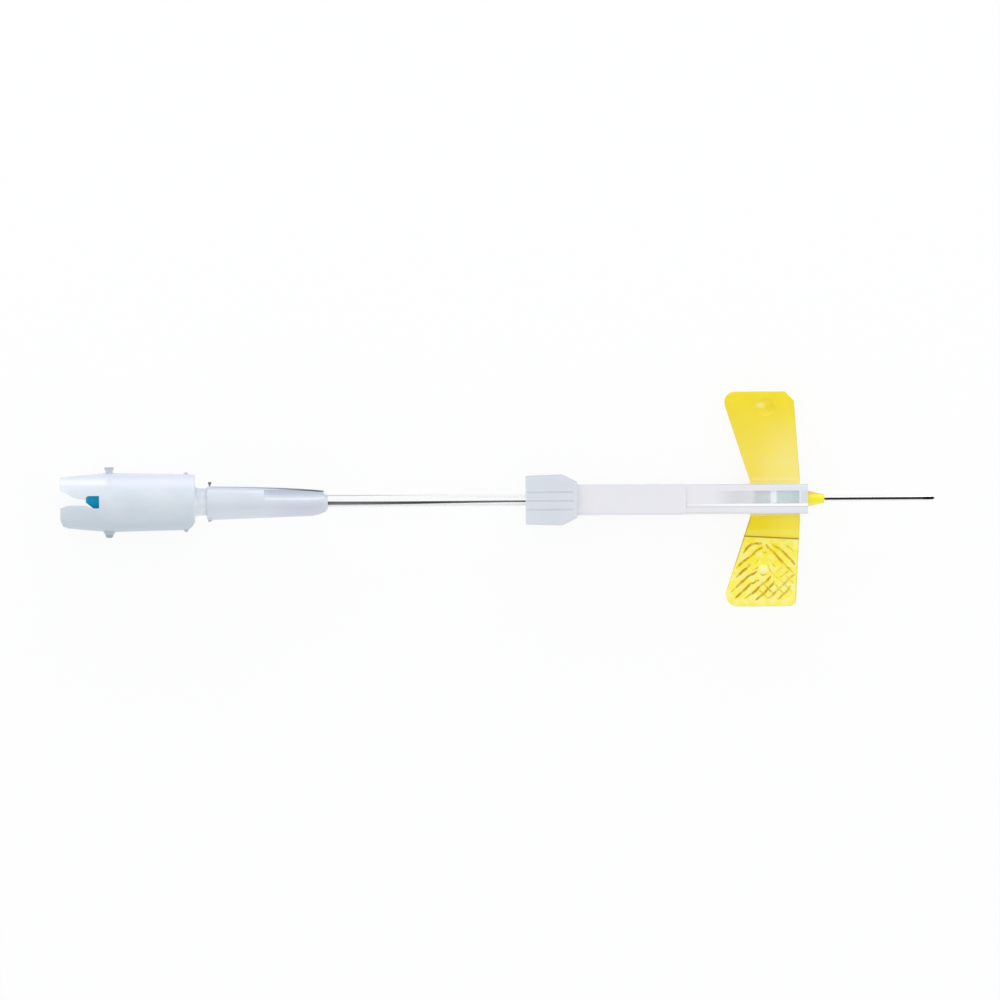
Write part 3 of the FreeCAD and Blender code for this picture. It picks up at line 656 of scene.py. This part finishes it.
def draw(name, points):
    """A line through points in millimetres, left open in edit mode."""
    bpy.ops.mesh.primitive_plane_add(size=MM, location=(0, 0, 0))
    piece = bpy.context.object
    piece.name = name
    bpy.ops.object.mode_set(mode="EDIT")
    bpy.ops.mesh.select_mode(type="VERT")
    bpy.ops.mesh.select_all(action="SELECT")
    bpy.ops.mesh.merge(type="CENTER")
    bpy.ops.transform.translate(value=Vector(points[0]) * MM)
    for before, here in zip(points, points[1:]):
        step = (Vector(here) - Vector(before)) * MM
        bpy.ops.mesh.extrude_region_move(TRANSFORM_OT_translate={"value": step})
    return piece


def filled(name, points):
    """A closed outline with one face in it, left open in edit mode."""
    piece = draw(name, points + points[:1])
    bpy.ops.mesh.select_all(action="SELECT")
    bpy.ops.mesh.remove_doubles(threshold=WELD)
    bpy.ops.mesh.edge_face_add()
    return piece


def close_up(piece):
    """Merges doubled points and turns every face outwards."""
    bpy.ops.mesh.select_all(action="SELECT")
    bpy.ops.mesh.remove_doubles(threshold=WELD)
    bpy.ops.mesh.normals_make_consistent(inside=False)
    bpy.ops.object.mode_set(mode="OBJECT")
    return piece


def turned(name, corners, z, steps=96):
    """A closed outline of (x, radius) corners, spun about the X direction at height z."""
    points = [(p.x, p.y, z) for p in eased(corners)]
    piece = draw(name, points + points[:1])
    bpy.ops.mesh.select_all(action="SELECT")
    bpy.ops.mesh.spin(steps=steps, angle=2 * math.pi, center=(0, 0, z * MM), axis=(1, 0, 0))
    return close_up(piece)


def slab(name, corners, low, high):
    """A closed outline in plan, from one height to another."""
    piece = filled(name, [(p.x, p.y, low) for p in eased(corners)])
    rise = (0, 0, (high - low) * MM)
    bpy.ops.mesh.extrude_region_move(TRANSFORM_OT_translate={"value": rise})
    return close_up(piece)


def soften(piece, width, segments=3, angle=30):
    """Rounds every edge that is sharper than an angle."""
    only(piece)
    edges = piece.modifiers.new("soft_edges", "BEVEL")
    edges.width = width * MM
    edges.segments = segments
    edges.limit_method = "ANGLE"
    edges.angle_limit = math.radians(angle)
    bpy.ops.object.modifier_apply(modifier=edges.name)
    return piece


def carve(piece, cutter, operation="DIFFERENCE", folded=False):
    """Cuts a piece with another, or joins them, and removes the cutter."""
    only(piece)
    change = piece.modifiers.new("carve", "BOOLEAN")
    change.operation = operation
    change.solver = "EXACT"
    change.use_self = folded
    change.object = cutter
    bpy.ops.object.modifier_apply(modifier=change.name)
    bpy.data.objects.remove(cutter)
    return piece


def finish_piece(piece, body, material, node, angle=35):
    """Smooth shading by angle, a finish, the body it rides on and the node it stands for."""
    only(piece)
    bpy.ops.object.shade_smooth_by_angle(angle=math.radians(angle))
    flat = piece.modifiers.new("flat_faces_stay_flat", "WEIGHTED_NORMAL")
    flat.keep_sharp = True
    bpy.ops.object.modifier_apply(modifier=flat.name)
    piece.data.materials.clear()
    piece.data.materials.append(material)
    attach(piece, body)
    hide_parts(node)
    print(piece.name, "has", len(piece.data.polygons), "faces")
    return piece


def block(name, x, y, z, round_by=0.0):
    """A box between limits in millimetres, its edges rounded."""
    centre = [sum(pair) / 2 * MM for pair in (x, y, z)]
    bpy.ops.mesh.primitive_cube_add(size=MM, location=centre)
    piece = bpy.context.object
    piece.name = name
    bpy.ops.object.mode_set(mode="EDIT")
    bpy.ops.transform.resize(value=[pair[1] - pair[0] for pair in (x, y, z)])
    if round_by:
        bpy.ops.mesh.bevel(offset=round_by * MM, segments=3, affect="EDGES")
    bpy.ops.object.mode_set(mode="OBJECT")
    bpy.ops.object.transform_apply(location=True, rotation=False, scale=False)
    return piece


print("lathe, slab and cutter are ready")

# %% [markdown]
# ## The adapter
# The adapter is a turned shell: wide at its lugs, with a slotted mouth, a bored web inside and a
# luer taper behind. Its outline is one closed line, so the shell has its real wall all round. The
# slot and its pocket are cut through both walls, and the lugs are rounded blocks set on the shell.

# %% Turn the shell
adapter = turned("adapter_shell", [
    (-75.225, 3.9, 0.1), (-75.225, 4.35, 0.2), (-66.775, 5.1, 12.0), (-52.025, 4.78, 0.35),
    (-52.025, 2.36, 0.55), (-49.98, 2.36), (-49.98, 2.12), (-42.575, 1.9, 0.12), (-42.575, 0.6),
    (-53.925, 0.6), (-53.925, 0.47), (-60.025, 0.47), (-60.025, 1.4), (-57.025, 1.4),
    (-57.025, 3.7, 0.5), (-70.875, 3.7), (-70.875, 3.9),
], HUB_Z)
print("shell faces:", len(adapter.data.polygons))

# %% Cut the mouth, its pocket and two corners
THROUGH = (-1, 11)  # from below the adapter to above it
carve(adapter, slab("mouth_cutter", [
    (-77.725, 3.48), (-72.725, 0.72, 2.0), (-70.875, 0.45), (-70.875, 1.13, 0.6),
    (-68.525, 1.13, 0.15), (-68.525, -1.03, 0.15), (-69.725, -1.03, 0.3), (-70.875, -0.5, 0.2),
    (-73.925, -0.5, 2.0), (-75.225, -0.99, 0.25), (-75.4, -1.6), (-77.725, -1.6),
], *THROUGH))
carve(adapter, slab("jaw_cutter", [
    (-75.3, -2.4), (-75.225, -3.0, 1.2), (-74.75, -4.15, 0.5), (-73.6, -4.5, 0.4), (-73.0, -5.4),
    (-76, -5.4), (-76, -2.4),
], *THROUGH))
carve(adapter, slab("corner_cutter", [
    (-51.9, -3.4), (-52.06, -3.5, 0.3), (-52.5, -4.25, 0.3), (-53.3, -4.86), (-53.3, -5.4),
    (-51.9, -5.4),
], *THROUGH))
print("shell faces with the mouth cut:", len(adapter.data.polygons))

# %% Lugs and nubs
LUG = (4.2, 6.0)  # the lugs' lowest and highest place
neck = block("lug_neck", (-67.4, -66.15), (4.4, 5.8), LUG, 0.1)
cap = block("lug_cap", (-67.575, -65.975), (5.55, 6.1), LUG, 0.13)
ramp = slab("ramp_lug", [
    (-67.9, -4.6), (-65.65, -4.6), (-65.75, -5.05, 0.25), (-66.3, -6.1, 0.3), (-67.25, -6.1, 0.3),
    (-67.8, -5.05, 0.25),
], *LUG)
soften(ramp, 0.14)
nubs = []
for side in (1, -1):
    nub = slab("rear_nub", [
        (-54.025, side * 4.3), (-53.125, side * 4.3), (-53.125, side * 4.8),
        (-53.325, side * 5.12), (-53.825, side * 5.12), (-54.025, side * 4.8),
    ], 4.4, 5.8)
    nubs.append(soften(nub, 0.12))
for lug in [neck, cap, ramp] + nubs:
    carve(adapter, lug, "UNION")
finish_piece(adapter, "adapter", adapter_plastic, "adapter_body")

# %% [markdown]
# ## The rubber cover
# The teal cover over the rear needle is a closed rubber finger with a thick foot. Its nose is cut
# slanting on one side, which shows through the slot as a cut corner. A straight slab does that.

# %% Turn the cover and cut its nose
rubber = turned("rubber_cover", [
    (-70.825, 0.0), (-70.825, 1.3, 0.45), (-61.275, 1.3, 0.6), (-60.275, 2.05, 0.3),
    (-57.075, 2.05), (-57.075, 1.43), (-60.075, 1.43), (-60.075, 0.62), (-69.8, 0.62, 0.3),
    (-69.8, 0.0),
], HUB_Z)
carve(rubber, slab("nose_cutter", [
    (-71.9, 0.87), (-70.825, 0.0), (-69.4, -1.14), (-68.6, -1.78), (-71.9, -1.78),
], 2.5, 7.7))
soften(rubber, 0.07, 2, 50)
finish_piece(rubber, "adapter", teal_rubber, "rubber_sleeve")

# %% [markdown]
# ## The luer hub
# The hub is turned too. One side is cut flat, and a finger trough runs along the flat's edge on the
# top and on the underside. Two ears at the rear lock it to a luer ring.

# %% Turn the hub and cut its flat
nose_curve = []
for step in range(17):
    turn = math.pi / 2 * step / 16
    nose_curve.append((-29.175 - 3.9 * (1 - math.sin(turn)), 1.15 + 1.41 * math.cos(turn)))
hub_piece = turned("hub_body", [
    (-49.975, 2.15), (-49.975, 3.0, 0.08), (-48.875, 3.11, 4.0),
] + nose_curve + [
    (-29.175, 1.07), (-35.975, 1.07), (-35.975, 0.6), (-42.175, 0.6), (-42.175, 1.916),
], HUB_Z)
carve(hub_piece, slab("flat_cutter", [
    (x, flat_edge(x)) for x in (-50.2, -46.0, -42.0, -39.0, -36.5, -34.5, -32.7, -31.2, -29.925)
] + [(-29.75, 1.2, 0.1), (-29.0, 1.1), (-29.0, 3.4), (-50.2, 3.4)], 1.5, 8.7))
print("hub faces:", len(hub_piece.data.polygons))

# %% Finger troughs
TROUGH_START = -40.075
TROUGH_LENGTH = 12.5


def trough(side):
    """A long round cutter that dips slightly towards the front; side is 1 on top, -1 below."""
    middle = (TROUGH_START + TROUGH_LENGTH / 2, 1.737, HUB_Z + side * 3.06)
    dip = math.atan(0.055)
    bpy.ops.mesh.primitive_cylinder_add(
        vertices=96, radius=1.5 * MM, depth=TROUGH_LENGTH * MM, location=Vector(middle) * MM,
        rotation=(0, math.pi / 2 + side * dip, 0),
    )
    cutter = bpy.context.object
    bpy.ops.object.transform_apply(location=True, rotation=True, scale=True)
    return cutter


for side in (1, -1):
    carve(hub_piece, trough(side))
print("hub faces with its troughs:", len(hub_piece.data.polygons))

# %% Ears
EAR_ARC = 36  # degrees


def ear(name, corners, middle):
    """A luer ear: a small outline spun through an arc about the axis, around a middle angle."""
    piece = filled(name, [(p.x, p.y, HUB_Z) for p in eased(corners, 3)])
    axis = (0, 0, HUB_Z * MM)
    bpy.ops.transform.rotate(
        value=math.radians(-EAR_ARC / 2 - middle), orient_axis="X", center_override=axis
    )
    bpy.ops.mesh.spin(steps=16, angle=math.radians(EAR_ARC), center=axis, axis=(1, 0, 0))
    return close_up(piece)


tee = ear("tee_ear", [
    (-49.65, 2.6), (-49.35, 2.6), (-49.35, 3.12), (-49.225, 3.12, 0.05), (-49.225, 3.45, 0.1),
    (-49.775, 3.45, 0.1), (-49.775, 3.12, 0.05), (-49.65, 3.12),
], 0)
ramp_ear = ear("ramp_ear", [
    (-49.775, 2.6), (-48.725, 2.6), (-48.725, 3.0), (-49.475, 3.45, 0.1), (-49.775, 3.45, 0.1),
], 180)
for piece in (tee, ramp_ear):
    spread = [v.co.y / MM for v in piece.data.vertices]
    print(piece.name, "y from", round(min(spread), 2), "to", round(max(spread), 2))
    carve(hub_piece, piece, "UNION")
finish_piece(hub_piece, "needle_unit", hub_plastic, "luer_hub")

# %% [markdown]
# ## The thumb grip
# The grip is a boxy block that tapers to the sleeve. It is drawn in plan, pulled up and rounded all
# over. The grooves, the sleeve's seat and the tube's way through are cut last, so the rounding
# stays even.

# %% Shape the grip and cut its grooves
GRIP_TOP = 8.2
GRIP_GROOVE = 0.11  # how deep its grooves are
SEAT_HALF = 2.67  # half of the sleeve's height
grip = slab("thumb_grip", [
    (4.825, -4.2), (11.125, -4.4), (13.725, -3.1), (13.725, 3.1), (11.125, 4.4), (4.825, 4.2),
], 0, GRIP_TOP)
soften(grip, 0.28, 4, 25)
for middle in (-1.69, -0.19, 1.31):
    across = (middle - 0.16, middle + 0.16)
    for height in ((-1.0, GRIP_GROOVE), (GRIP_TOP - GRIP_GROOVE, 9.2)):
        carve(grip, block("groove", (4.2, 13.0), across, height, 0.05))
height = (NEEDLE_Z - SEAT_HALF, NEEDLE_Z + SEAT_HALF)
carve(grip, block("sleeve_seat", (6.025, 14.5), (-2.69, 2.69), height))
way = [(4.0, 0.0), (4.0, 1.25), (6.5, 1.25), (6.5, 0.0)]
carve(grip, turned("tube_way", way, NEEDLE_Z, 48))
finish_piece(grip, "shield", collar_plastic, "grip_collar", 30)

# %% [markdown]
# ## Pieces kept from the packed model
# The sleeve, barrel, nose and rear needle already have their right shapes. The packed ones are made
# of loose flat triangles, so a copy whose doubled points are merged stands for each. Shaded by
# angle, curved walls turn soft and real edges stay crisp.

# %% Merge a copy and shade it smoothly
def merged_copy(node, name, body, material, angle=38):
    """A merged and smoothly shaded copy that stands for a packed node."""
    piece = bpy.data.objects.new(name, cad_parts[node].data.copy())
    bpy.context.scene.collection.objects.link(piece)
    edit(piece)
    bpy.ops.mesh.remove_doubles(threshold=WELD)
    bpy.ops.mesh.dissolve_limited(angle_limit=math.radians(0.2))
    bpy.ops.object.mode_set(mode="OBJECT")
    return finish_piece(piece, body, material, node, angle)


merged_copy("wing_saddle", "nose_and_rails", "needle_unit", nose_yellow)
merged_copy("rear_cannula", "rear_needle", "adapter", steel)
merged_copy("barrel", "inner_barrel", "needle_unit", barrel_plastic)
merged_copy("shield_sleeve", "sleeve", "shield", sleeve_plastic, 30)

# %% [markdown]
# ## The needle
# A needle is a thin steel tube with a ground point. One long bevel faces up, and two short facets
# from the sides turn its tip into a lance. They are cut with slabs that are turned on edge.

# %% Turn the needle and grind its point
TIP_X = 75.225
needle = turned("needle", [
    (44.275, 0.45, 0.03), (TIP_X, 0.45), (TIP_X, 0.28), (44.275, 0.28),
], NEEDLE_Z, 48)


def grind(length, roll, low):
    """Grinds the point over a length, with a slanting plane; roll is in degrees."""
    start = TIP_X - length
    tool = slab("stone", [
        (start, 0.45), (TIP_X + 0.01, low), (TIP_X + 1, low), (TIP_X + 1, 1.5), (start, 1.5),
    ], -1, 1)
    edit(tool)
    bpy.ops.transform.rotate(
        value=math.radians(roll), orient_axis="X", center_override=(0, 0, 0)
    )
    bpy.ops.transform.translate(value=(0, 0, NEEDLE_Z * MM))
    bpy.ops.object.mode_set(mode="OBJECT")
    carve(needle, tool)


grind(1.9, 90, -0.45)
grind(1.2, 38, -0.277)
grind(1.2, 142, -0.277)
finish_piece(needle, "needle_unit", steel, "cannula", 40)
reach = [v.co.x / MM for v in needle.data.vertices]
print("needle from", round(min(reach), 3), "to", round(max(reach), 3))

# %% [markdown]
# ## The bore of the tube
# Seen through the clear wall, the narrow bore shows as one dark line that thins out along the tube.
# A hollow tube with a real inner wall could show it, if light were bent as it is in the real one.
# A second curve inside the first, a hair thick, is seen from every side without that.

# %% A hair line inside the tube
# The dark hair line is painted shade: a dark thread where the real tube has only shade.
shade = Finish("bore_shade")
x, y, z = shade.places()
bore_shade = shade.plastic(
    shade.mix(shade.band(x, -20.0, -6.0, 8.0), tint(104, 103, 106), tint(12, 12, 13)),
    0.5, 0.000002, Roughness=0.5 + 0.1 * shade.cloud(2.0),
)
BORE_RADIUS = 0.18 * MM
bore = smooth_line("bore_line", [
    (-0.0300, -0.00034, 0.0050), (-0.0190, -0.00037, 0.0049), (-0.0080, -0.00026, 0.0044),
    (0.0020, -0.00018, 0.0040), (0.0100, -0.00020, 0.0040), (0.0425, -0.0001, 0.0041),
], [BORE_RADIUS * share for share in (1.75, 1.45, 1.1, 0.9, 0.85, 0.85)])
bore.data.materials.append(bore_shade)
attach(bore, "needle_unit")
print("bore line made")

# %% [markdown]
# ## The wings
# Each wing is a soft sheet that leaves the moulding beside the sleeve and folds up along its root.
# A flat plane is cut to the outline line by line, its corners are rounded, and it then gets its
# thickness. Rows of cuts near the root let it bend.

# %% Cut a plane to a wing's outline
ROOT_Y = 3.02
WING_Z = 4.1  # the middle of the sheet
BEHIND, AHEAD = 30, 60  # places in x that every line across a wing reaches


def select_where(piece, kind, wanted):
    """Selects the points, edges or faces that a test accepts, from their places."""
    bpy.ops.mesh.select_mode(type=kind)
    bpy.ops.mesh.select_all(action="DESELECT")
    bpy.ops.object.mode_set(mode="OBJECT")
    mesh = piece.data
    parts = {"VERT": mesh.vertices, "EDGE": mesh.edges, "FACE": mesh.polygons}[kind]
    found = [part for part in parts if wanted(part)]
    for part in found:
        part.select = True
    bpy.ops.object.mode_set(mode="EDIT")
    return len(found)


def cut_line(start, end, clear=True):
    """Cuts the whole sheet along a line in plan, and clears what is on the line's left."""
    bpy.ops.mesh.select_all(action="SELECT")
    run = Vector((end[0] - start[0], end[1] - start[1], 0)).normalized()
    bpy.ops.mesh.bisect(
        plane_co=(start[0] * MM, start[1] * MM, 0), plane_no=(-run.y, run.x, 0), clear_outer=clear
    )


def round_corner(sheet, corner, run):
    """Rounds one corner of the outline; run is how far back the round starts."""
    place = Vector(corner) * MM
    found = select_where(sheet, "VERT", lambda v: (v.co.xy - place).length < 0.05 * MM)
    bpy.ops.mesh.bevel(offset_type="OFFSET", offset=run * MM, segments=10, affect="VERTICES")
    print("rounded corners:", found)


def wing_sheet(name, front_sweep, rear_run, front_corner):
    """A flat sheet with a wing's outline, above the axis."""
    bpy.ops.mesh.primitive_plane_add(size=30 * MM, location=(46 * MM, 12 * MM, WING_Z * MM))
    sheet = bpy.context.object
    sheet.name = name
    bpy.ops.object.transform_apply(location=True, rotation=False, scale=False)
    bpy.ops.object.mode_set(mode="EDIT")
    rear_tip = (REAR_START[0] - REAR_SWEEP, TIP_Y)
    front_tip = (FRONT_START[0] - front_sweep, TIP_Y)
    cut_line((AHEAD, ROOT_Y), (BEHIND, ROOT_Y))
    cut_line(REAR_START, rear_tip)
    cut_line(rear_tip, (AHEAD, TIP_Y))
    cut_line(front_tip, FRONT_START)
    round_corner(sheet, rear_tip, rear_run)
    front_corner(sheet, front_tip)
    bpy.ops.object.mode_set(mode="OBJECT")
    across = [v.co.x / MM for v in sheet.data.vertices]
    print(name, "reaches in x from", round(min(across), 2), "to", round(max(across), 2))
    return sheet


def clipped(sheet, tip):
    """The upper wing's front corner is cut off straight."""
    cut_line((tip[0] - 1.4, tip[1]), (tip[0] + 0.04, tip[1] - 1.6))


def rounded(sheet, tip):
    """The lower wing's front corner is round."""
    round_corner(sheet, tip, 1.2)


upper_wing = wing_sheet("upper_wing_sheet", 1.05, 2.7, clipped)
lower_wing = wing_sheet("lower_wing_sheet", 0.8, 3.1, rounded)

# %% Rows for bending, thickness, pad and soft edges
THICKNESS = 0.8
PAD_LIFT = 0.2
PAD_TOP = WING_Z + THICKNESS / 2 + PAD_LIFT


def thicken(sheet, pad_up):
    """Rows of cuts at the root and the crease, then thickness, a pad and soft edges."""
    only(sheet)
    bpy.ops.object.mode_set(mode="EDIT")
    cut_line((BEHIND, crease_y(BEHIND)), (AHEAD, crease_y(AHEAD)), clear=False)
    for row in range(1, 9):
        row_y = ROOT_Y + row * 0.19
        cut_line((BEHIND, row_y), (AHEAD, row_y), clear=False)
    bpy.ops.object.mode_set(mode="OBJECT")
    body = sheet.modifiers.new("thickness", "SOLIDIFY")
    body.thickness = THICKNESS * MM
    body.offset = 0
    bpy.ops.object.modifier_apply(modifier=body.name)
    edit(sheet)
    bpy.ops.mesh.normals_make_consistent(inside=False)
    facing = 1 if pad_up else -1
    found = select_where(
        sheet, "FACE", lambda f: f.normal.z * facing > 0.9 and f.center.y > 6.9 * MM
    )
    lift = (0, 0, PAD_LIFT * facing * MM)
    bpy.ops.mesh.extrude_region_move(TRANSFORM_OT_translate={"value": lift})
    bpy.ops.object.mode_set(mode="OBJECT")
    soften(sheet, 0.13, 3, 40)
    print(sheet.name, "pad faces", found, "faces in all", len(sheet.data.polygons))


thicken(upper_wing, False)
thicken(lower_wing, True)

# %% [markdown]
# ## Dimple, bump and gripping pad
# The smooth wing has a shallow dimple where the plastic was fed in. The other has a gripping pad on
# top: chevrons near the root, slanting grooves on one half and a diamond hatch on the other, around
# a small round bump. Paint could show them, but real grooves catch the light from all sides. Each
# groove is a thin curve along the pad's surface, turned into a mesh, and all are cut at once.

# %% Dimple and bump
def lens(x, y, z, radius, height):
    """A flat round lens, made from a ball pressed down."""
    bpy.ops.mesh.primitive_uv_sphere_add(
        segments=48, ring_count=24, radius=radius * MM, location=(x * MM, y * MM, z * MM)
    )
    ball = bpy.context.object
    bpy.ops.object.mode_set(mode="EDIT")
    bpy.ops.transform.resize(value=(1, 1, height / radius))
    bpy.ops.object.mode_set(mode="OBJECT")
    bpy.ops.object.transform_apply(location=True, rotation=False, scale=False)
    return ball


carve(upper_wing, lens(46.175, 15.8, 4.5, 1.5, 0.12))
carve(lower_wing, lens(*BUMP, PAD_TOP - 0.02, 0.8, 0.24), "UNION")
print("dimple and bump made")

# %% Lay out the grooves
deep_routes = [
    # chevrons near the root
    [(42.23, 9.38), (42.66, 8.7), (43.09, 8.18), (43.6, 7.84), (44.2, 7.71), (44.81, 7.68),
     (45.49, 7.68)],
    [(41.06, 11.95), (41.54, 11.41), (42.14, 10.84), (42.74, 10.38), (43.43, 9.94), (44.03, 9.39),
     (44.63, 8.88), (45.15, 8.54), (45.58, 8.37)],
    [(46.18, 7.82), (46.32, 8.29), (46.87, 8.67), (47.39, 9.15), (47.9, 9.76), (48.59, 10.53),
     (49.28, 11.28), (49.88, 11.87), (50.31, 12.26), (50.83, 12.87)],
    [(47.18, 7.89), (47.73, 8.17), (48.42, 8.59), (49.11, 9.16), (49.79, 9.85), (50.4, 10.49),
     (50.83, 11.01), (51.14, 11.49)],
    # slanting grooves, from the outer edge inwards
    [(40.97, 13.55), (41.42, 13.11), (41.97, 12.56), (42.48, 12.13), (43.0, 11.84), (43.31, 11.45),
     (43.21, 11.19)],
    [(40.85, 15.34), (41.45, 14.79), (41.97, 14.28), (42.48, 13.91), (43.0, 13.31), (43.43, 13.05),
     (44.03, 12.92), (44.63, 12.4)],
    [(40.73, 17.15), (41.28, 16.69), (41.92, 16.05), (42.48, 15.57), (42.97, 15.11), (43.52, 14.46),
     (44.0, 14.52), (44.41, 14.09), (44.98, 14.01)],
    [(42.4, 17.21), (42.97, 16.8), (43.52, 16.39), (44.12, 16.01), (44.58, 15.55), (45.06, 14.99),
     (45.67, 14.59), (46.18, 14.22), (46.58, 13.76), (46.96, 13.28)],
    [(44.29, 17.44), (44.81, 17.0), (45.32, 16.62), (45.96, 16.11), (46.44, 15.46), (46.92, 15.05),
     (47.39, 14.57), (47.51, 14.05)],
    [(46.35, 17.23), (46.96, 16.89), (47.44, 16.38), (48.02, 15.74), (48.42, 15.4), (49.23, 14.72),
     (49.71, 14.24), (50.09, 13.81), (50.57, 13.3), (51.08, 13.01)],
    [(47.95, 17.41), (48.47, 17.07), (49.16, 16.39), (49.71, 15.92), (50.05, 15.48),
     (50.31, 14.93)],
]
fine_routes = [
    # short arcs near the root and round the bump
    [(49.11, 7.84), (49.62, 8.05), (50.31, 8.57), (50.91, 9.17)],
    [(45.49, 9.36), (45.89, 9.19), (46.35, 9.2)],
    [(44.38, 11.2), (44.55, 10.77), (44.98, 10.39)],
    [(47.18, 11.16), (47.44, 11.47), (47.82, 11.73)],
    [(46.35, 11.12), (46.61, 11.99), (46.96, 12.5), (47.47, 13.16)],
    [(43.77, 12.45), (44.29, 12.01), (44.89, 11.77)],
    [(45.1, 12.8), (45.41, 13.15), (45.84, 13.13), (46.23, 12.76)],
    [(40.16, 16.04), (40.42, 15.73), (40.76, 15.39)],
    # crossing grooves of the hatch
    [(49.59, 17.33), (50.02, 17.03), (50.53, 16.22)],
    [(48.16, 13.77), (48.76, 13.42), (49.28, 13.03), (49.79, 12.55), (50.31, 12.21)],
    [(47.9, 12.68), (48.37, 12.25), (48.99, 11.74)],
    [(47.44, 13.16), (48.25, 13.8), (49.23, 14.72), (50.02, 15.48), (50.57, 16.22)],
    [(48.37, 12.25), (49.28, 13.07), (50.09, 13.81), (50.53, 14.28), (50.88, 14.73)],
    [(47.47, 14.4), (48.19, 15.43), (49.14, 16.33), (49.91, 17.08)],
    [(45.24, 14.13), (45.61, 14.59), (46.44, 15.46), (47.39, 16.38), (48.13, 17.33)],
    [(44.89, 15.73), (45.44, 16.14), (45.92, 16.66), (46.41, 17.18)],
]
routes = [(route, 1.0) for route in deep_routes] + [(route, 0.84) for route in fine_routes]
print("grooves:", len(routes))

# %% Cut the grooves
GROOVE_RADIUS = 0.28 * MM
GROOVE_LIFT = 0.13  # how far the line runs above the pad
UNEVEN = (0.9, 1.1, 1.0, 1.15)


def groove_line(route, share, shift):
    """A curve along a groove, weaker at both ends and a little uneven between, as if moulded."""
    ends = (0, len(route) - 1)
    radii = [
        GROOVE_RADIUS * share * (0.8 if k in ends else UNEVEN[(k + shift) % 4])
        for k in range(len(route))
    ]
    height = (PAD_TOP + GROOVE_LIFT) * MM
    line = smooth_line("groove_line", [(px * MM, py * MM, height) for px, py in route], radii)
    line.data.bevel_resolution = 2
    line.data.resolution_u = 4
    return line


cutters = []
for shift, (route, share) in enumerate(routes):
    only(groove_line(route, share, shift))
    bpy.ops.object.convert(target="MESH")
    cutters.append(bpy.context.object)
for line in cutters:
    line.select_set(True)
bpy.context.view_layer.objects.active = cutters[0]
bpy.ops.object.join()
carve(lower_wing, bpy.context.object, folded=True)
print("pad faces after cutting:", len(lower_wing.data.polygons))

# %% Turn the lower wing over to its side, and shade and finish both wings
edit(lower_wing)
bpy.ops.transform.mirror(
    constraint_axis=(False, True, False), orient_type="GLOBAL", center_override=(0, 0, 0)
)
bpy.ops.mesh.normals_make_consistent(inside=False)
bpy.ops.object.mode_set(mode="OBJECT")
for sheet, material, node, body, side in (
    (upper_wing, upper_yellow, "wing_upper", "upper_wing", 1),
    (lower_wing, lower_yellow, "wing_lower", "lower_wing", -1),
):
    only(sheet)
    bpy.ops.object.shade_smooth_by_angle(angle=math.radians(30))
    sheet.data.materials.append(material)
    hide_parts(node)
    side * 3.0 * MM
    side * 4.4 * MM
    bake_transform(sheet)
    spread = [v.co.y / MM for v in sheet.data.vertices]
    print(sheet.name, "bends with", body, "y", round(min(spread), 2), round(max(spread), 2))

# %% [markdown]
# ## Close
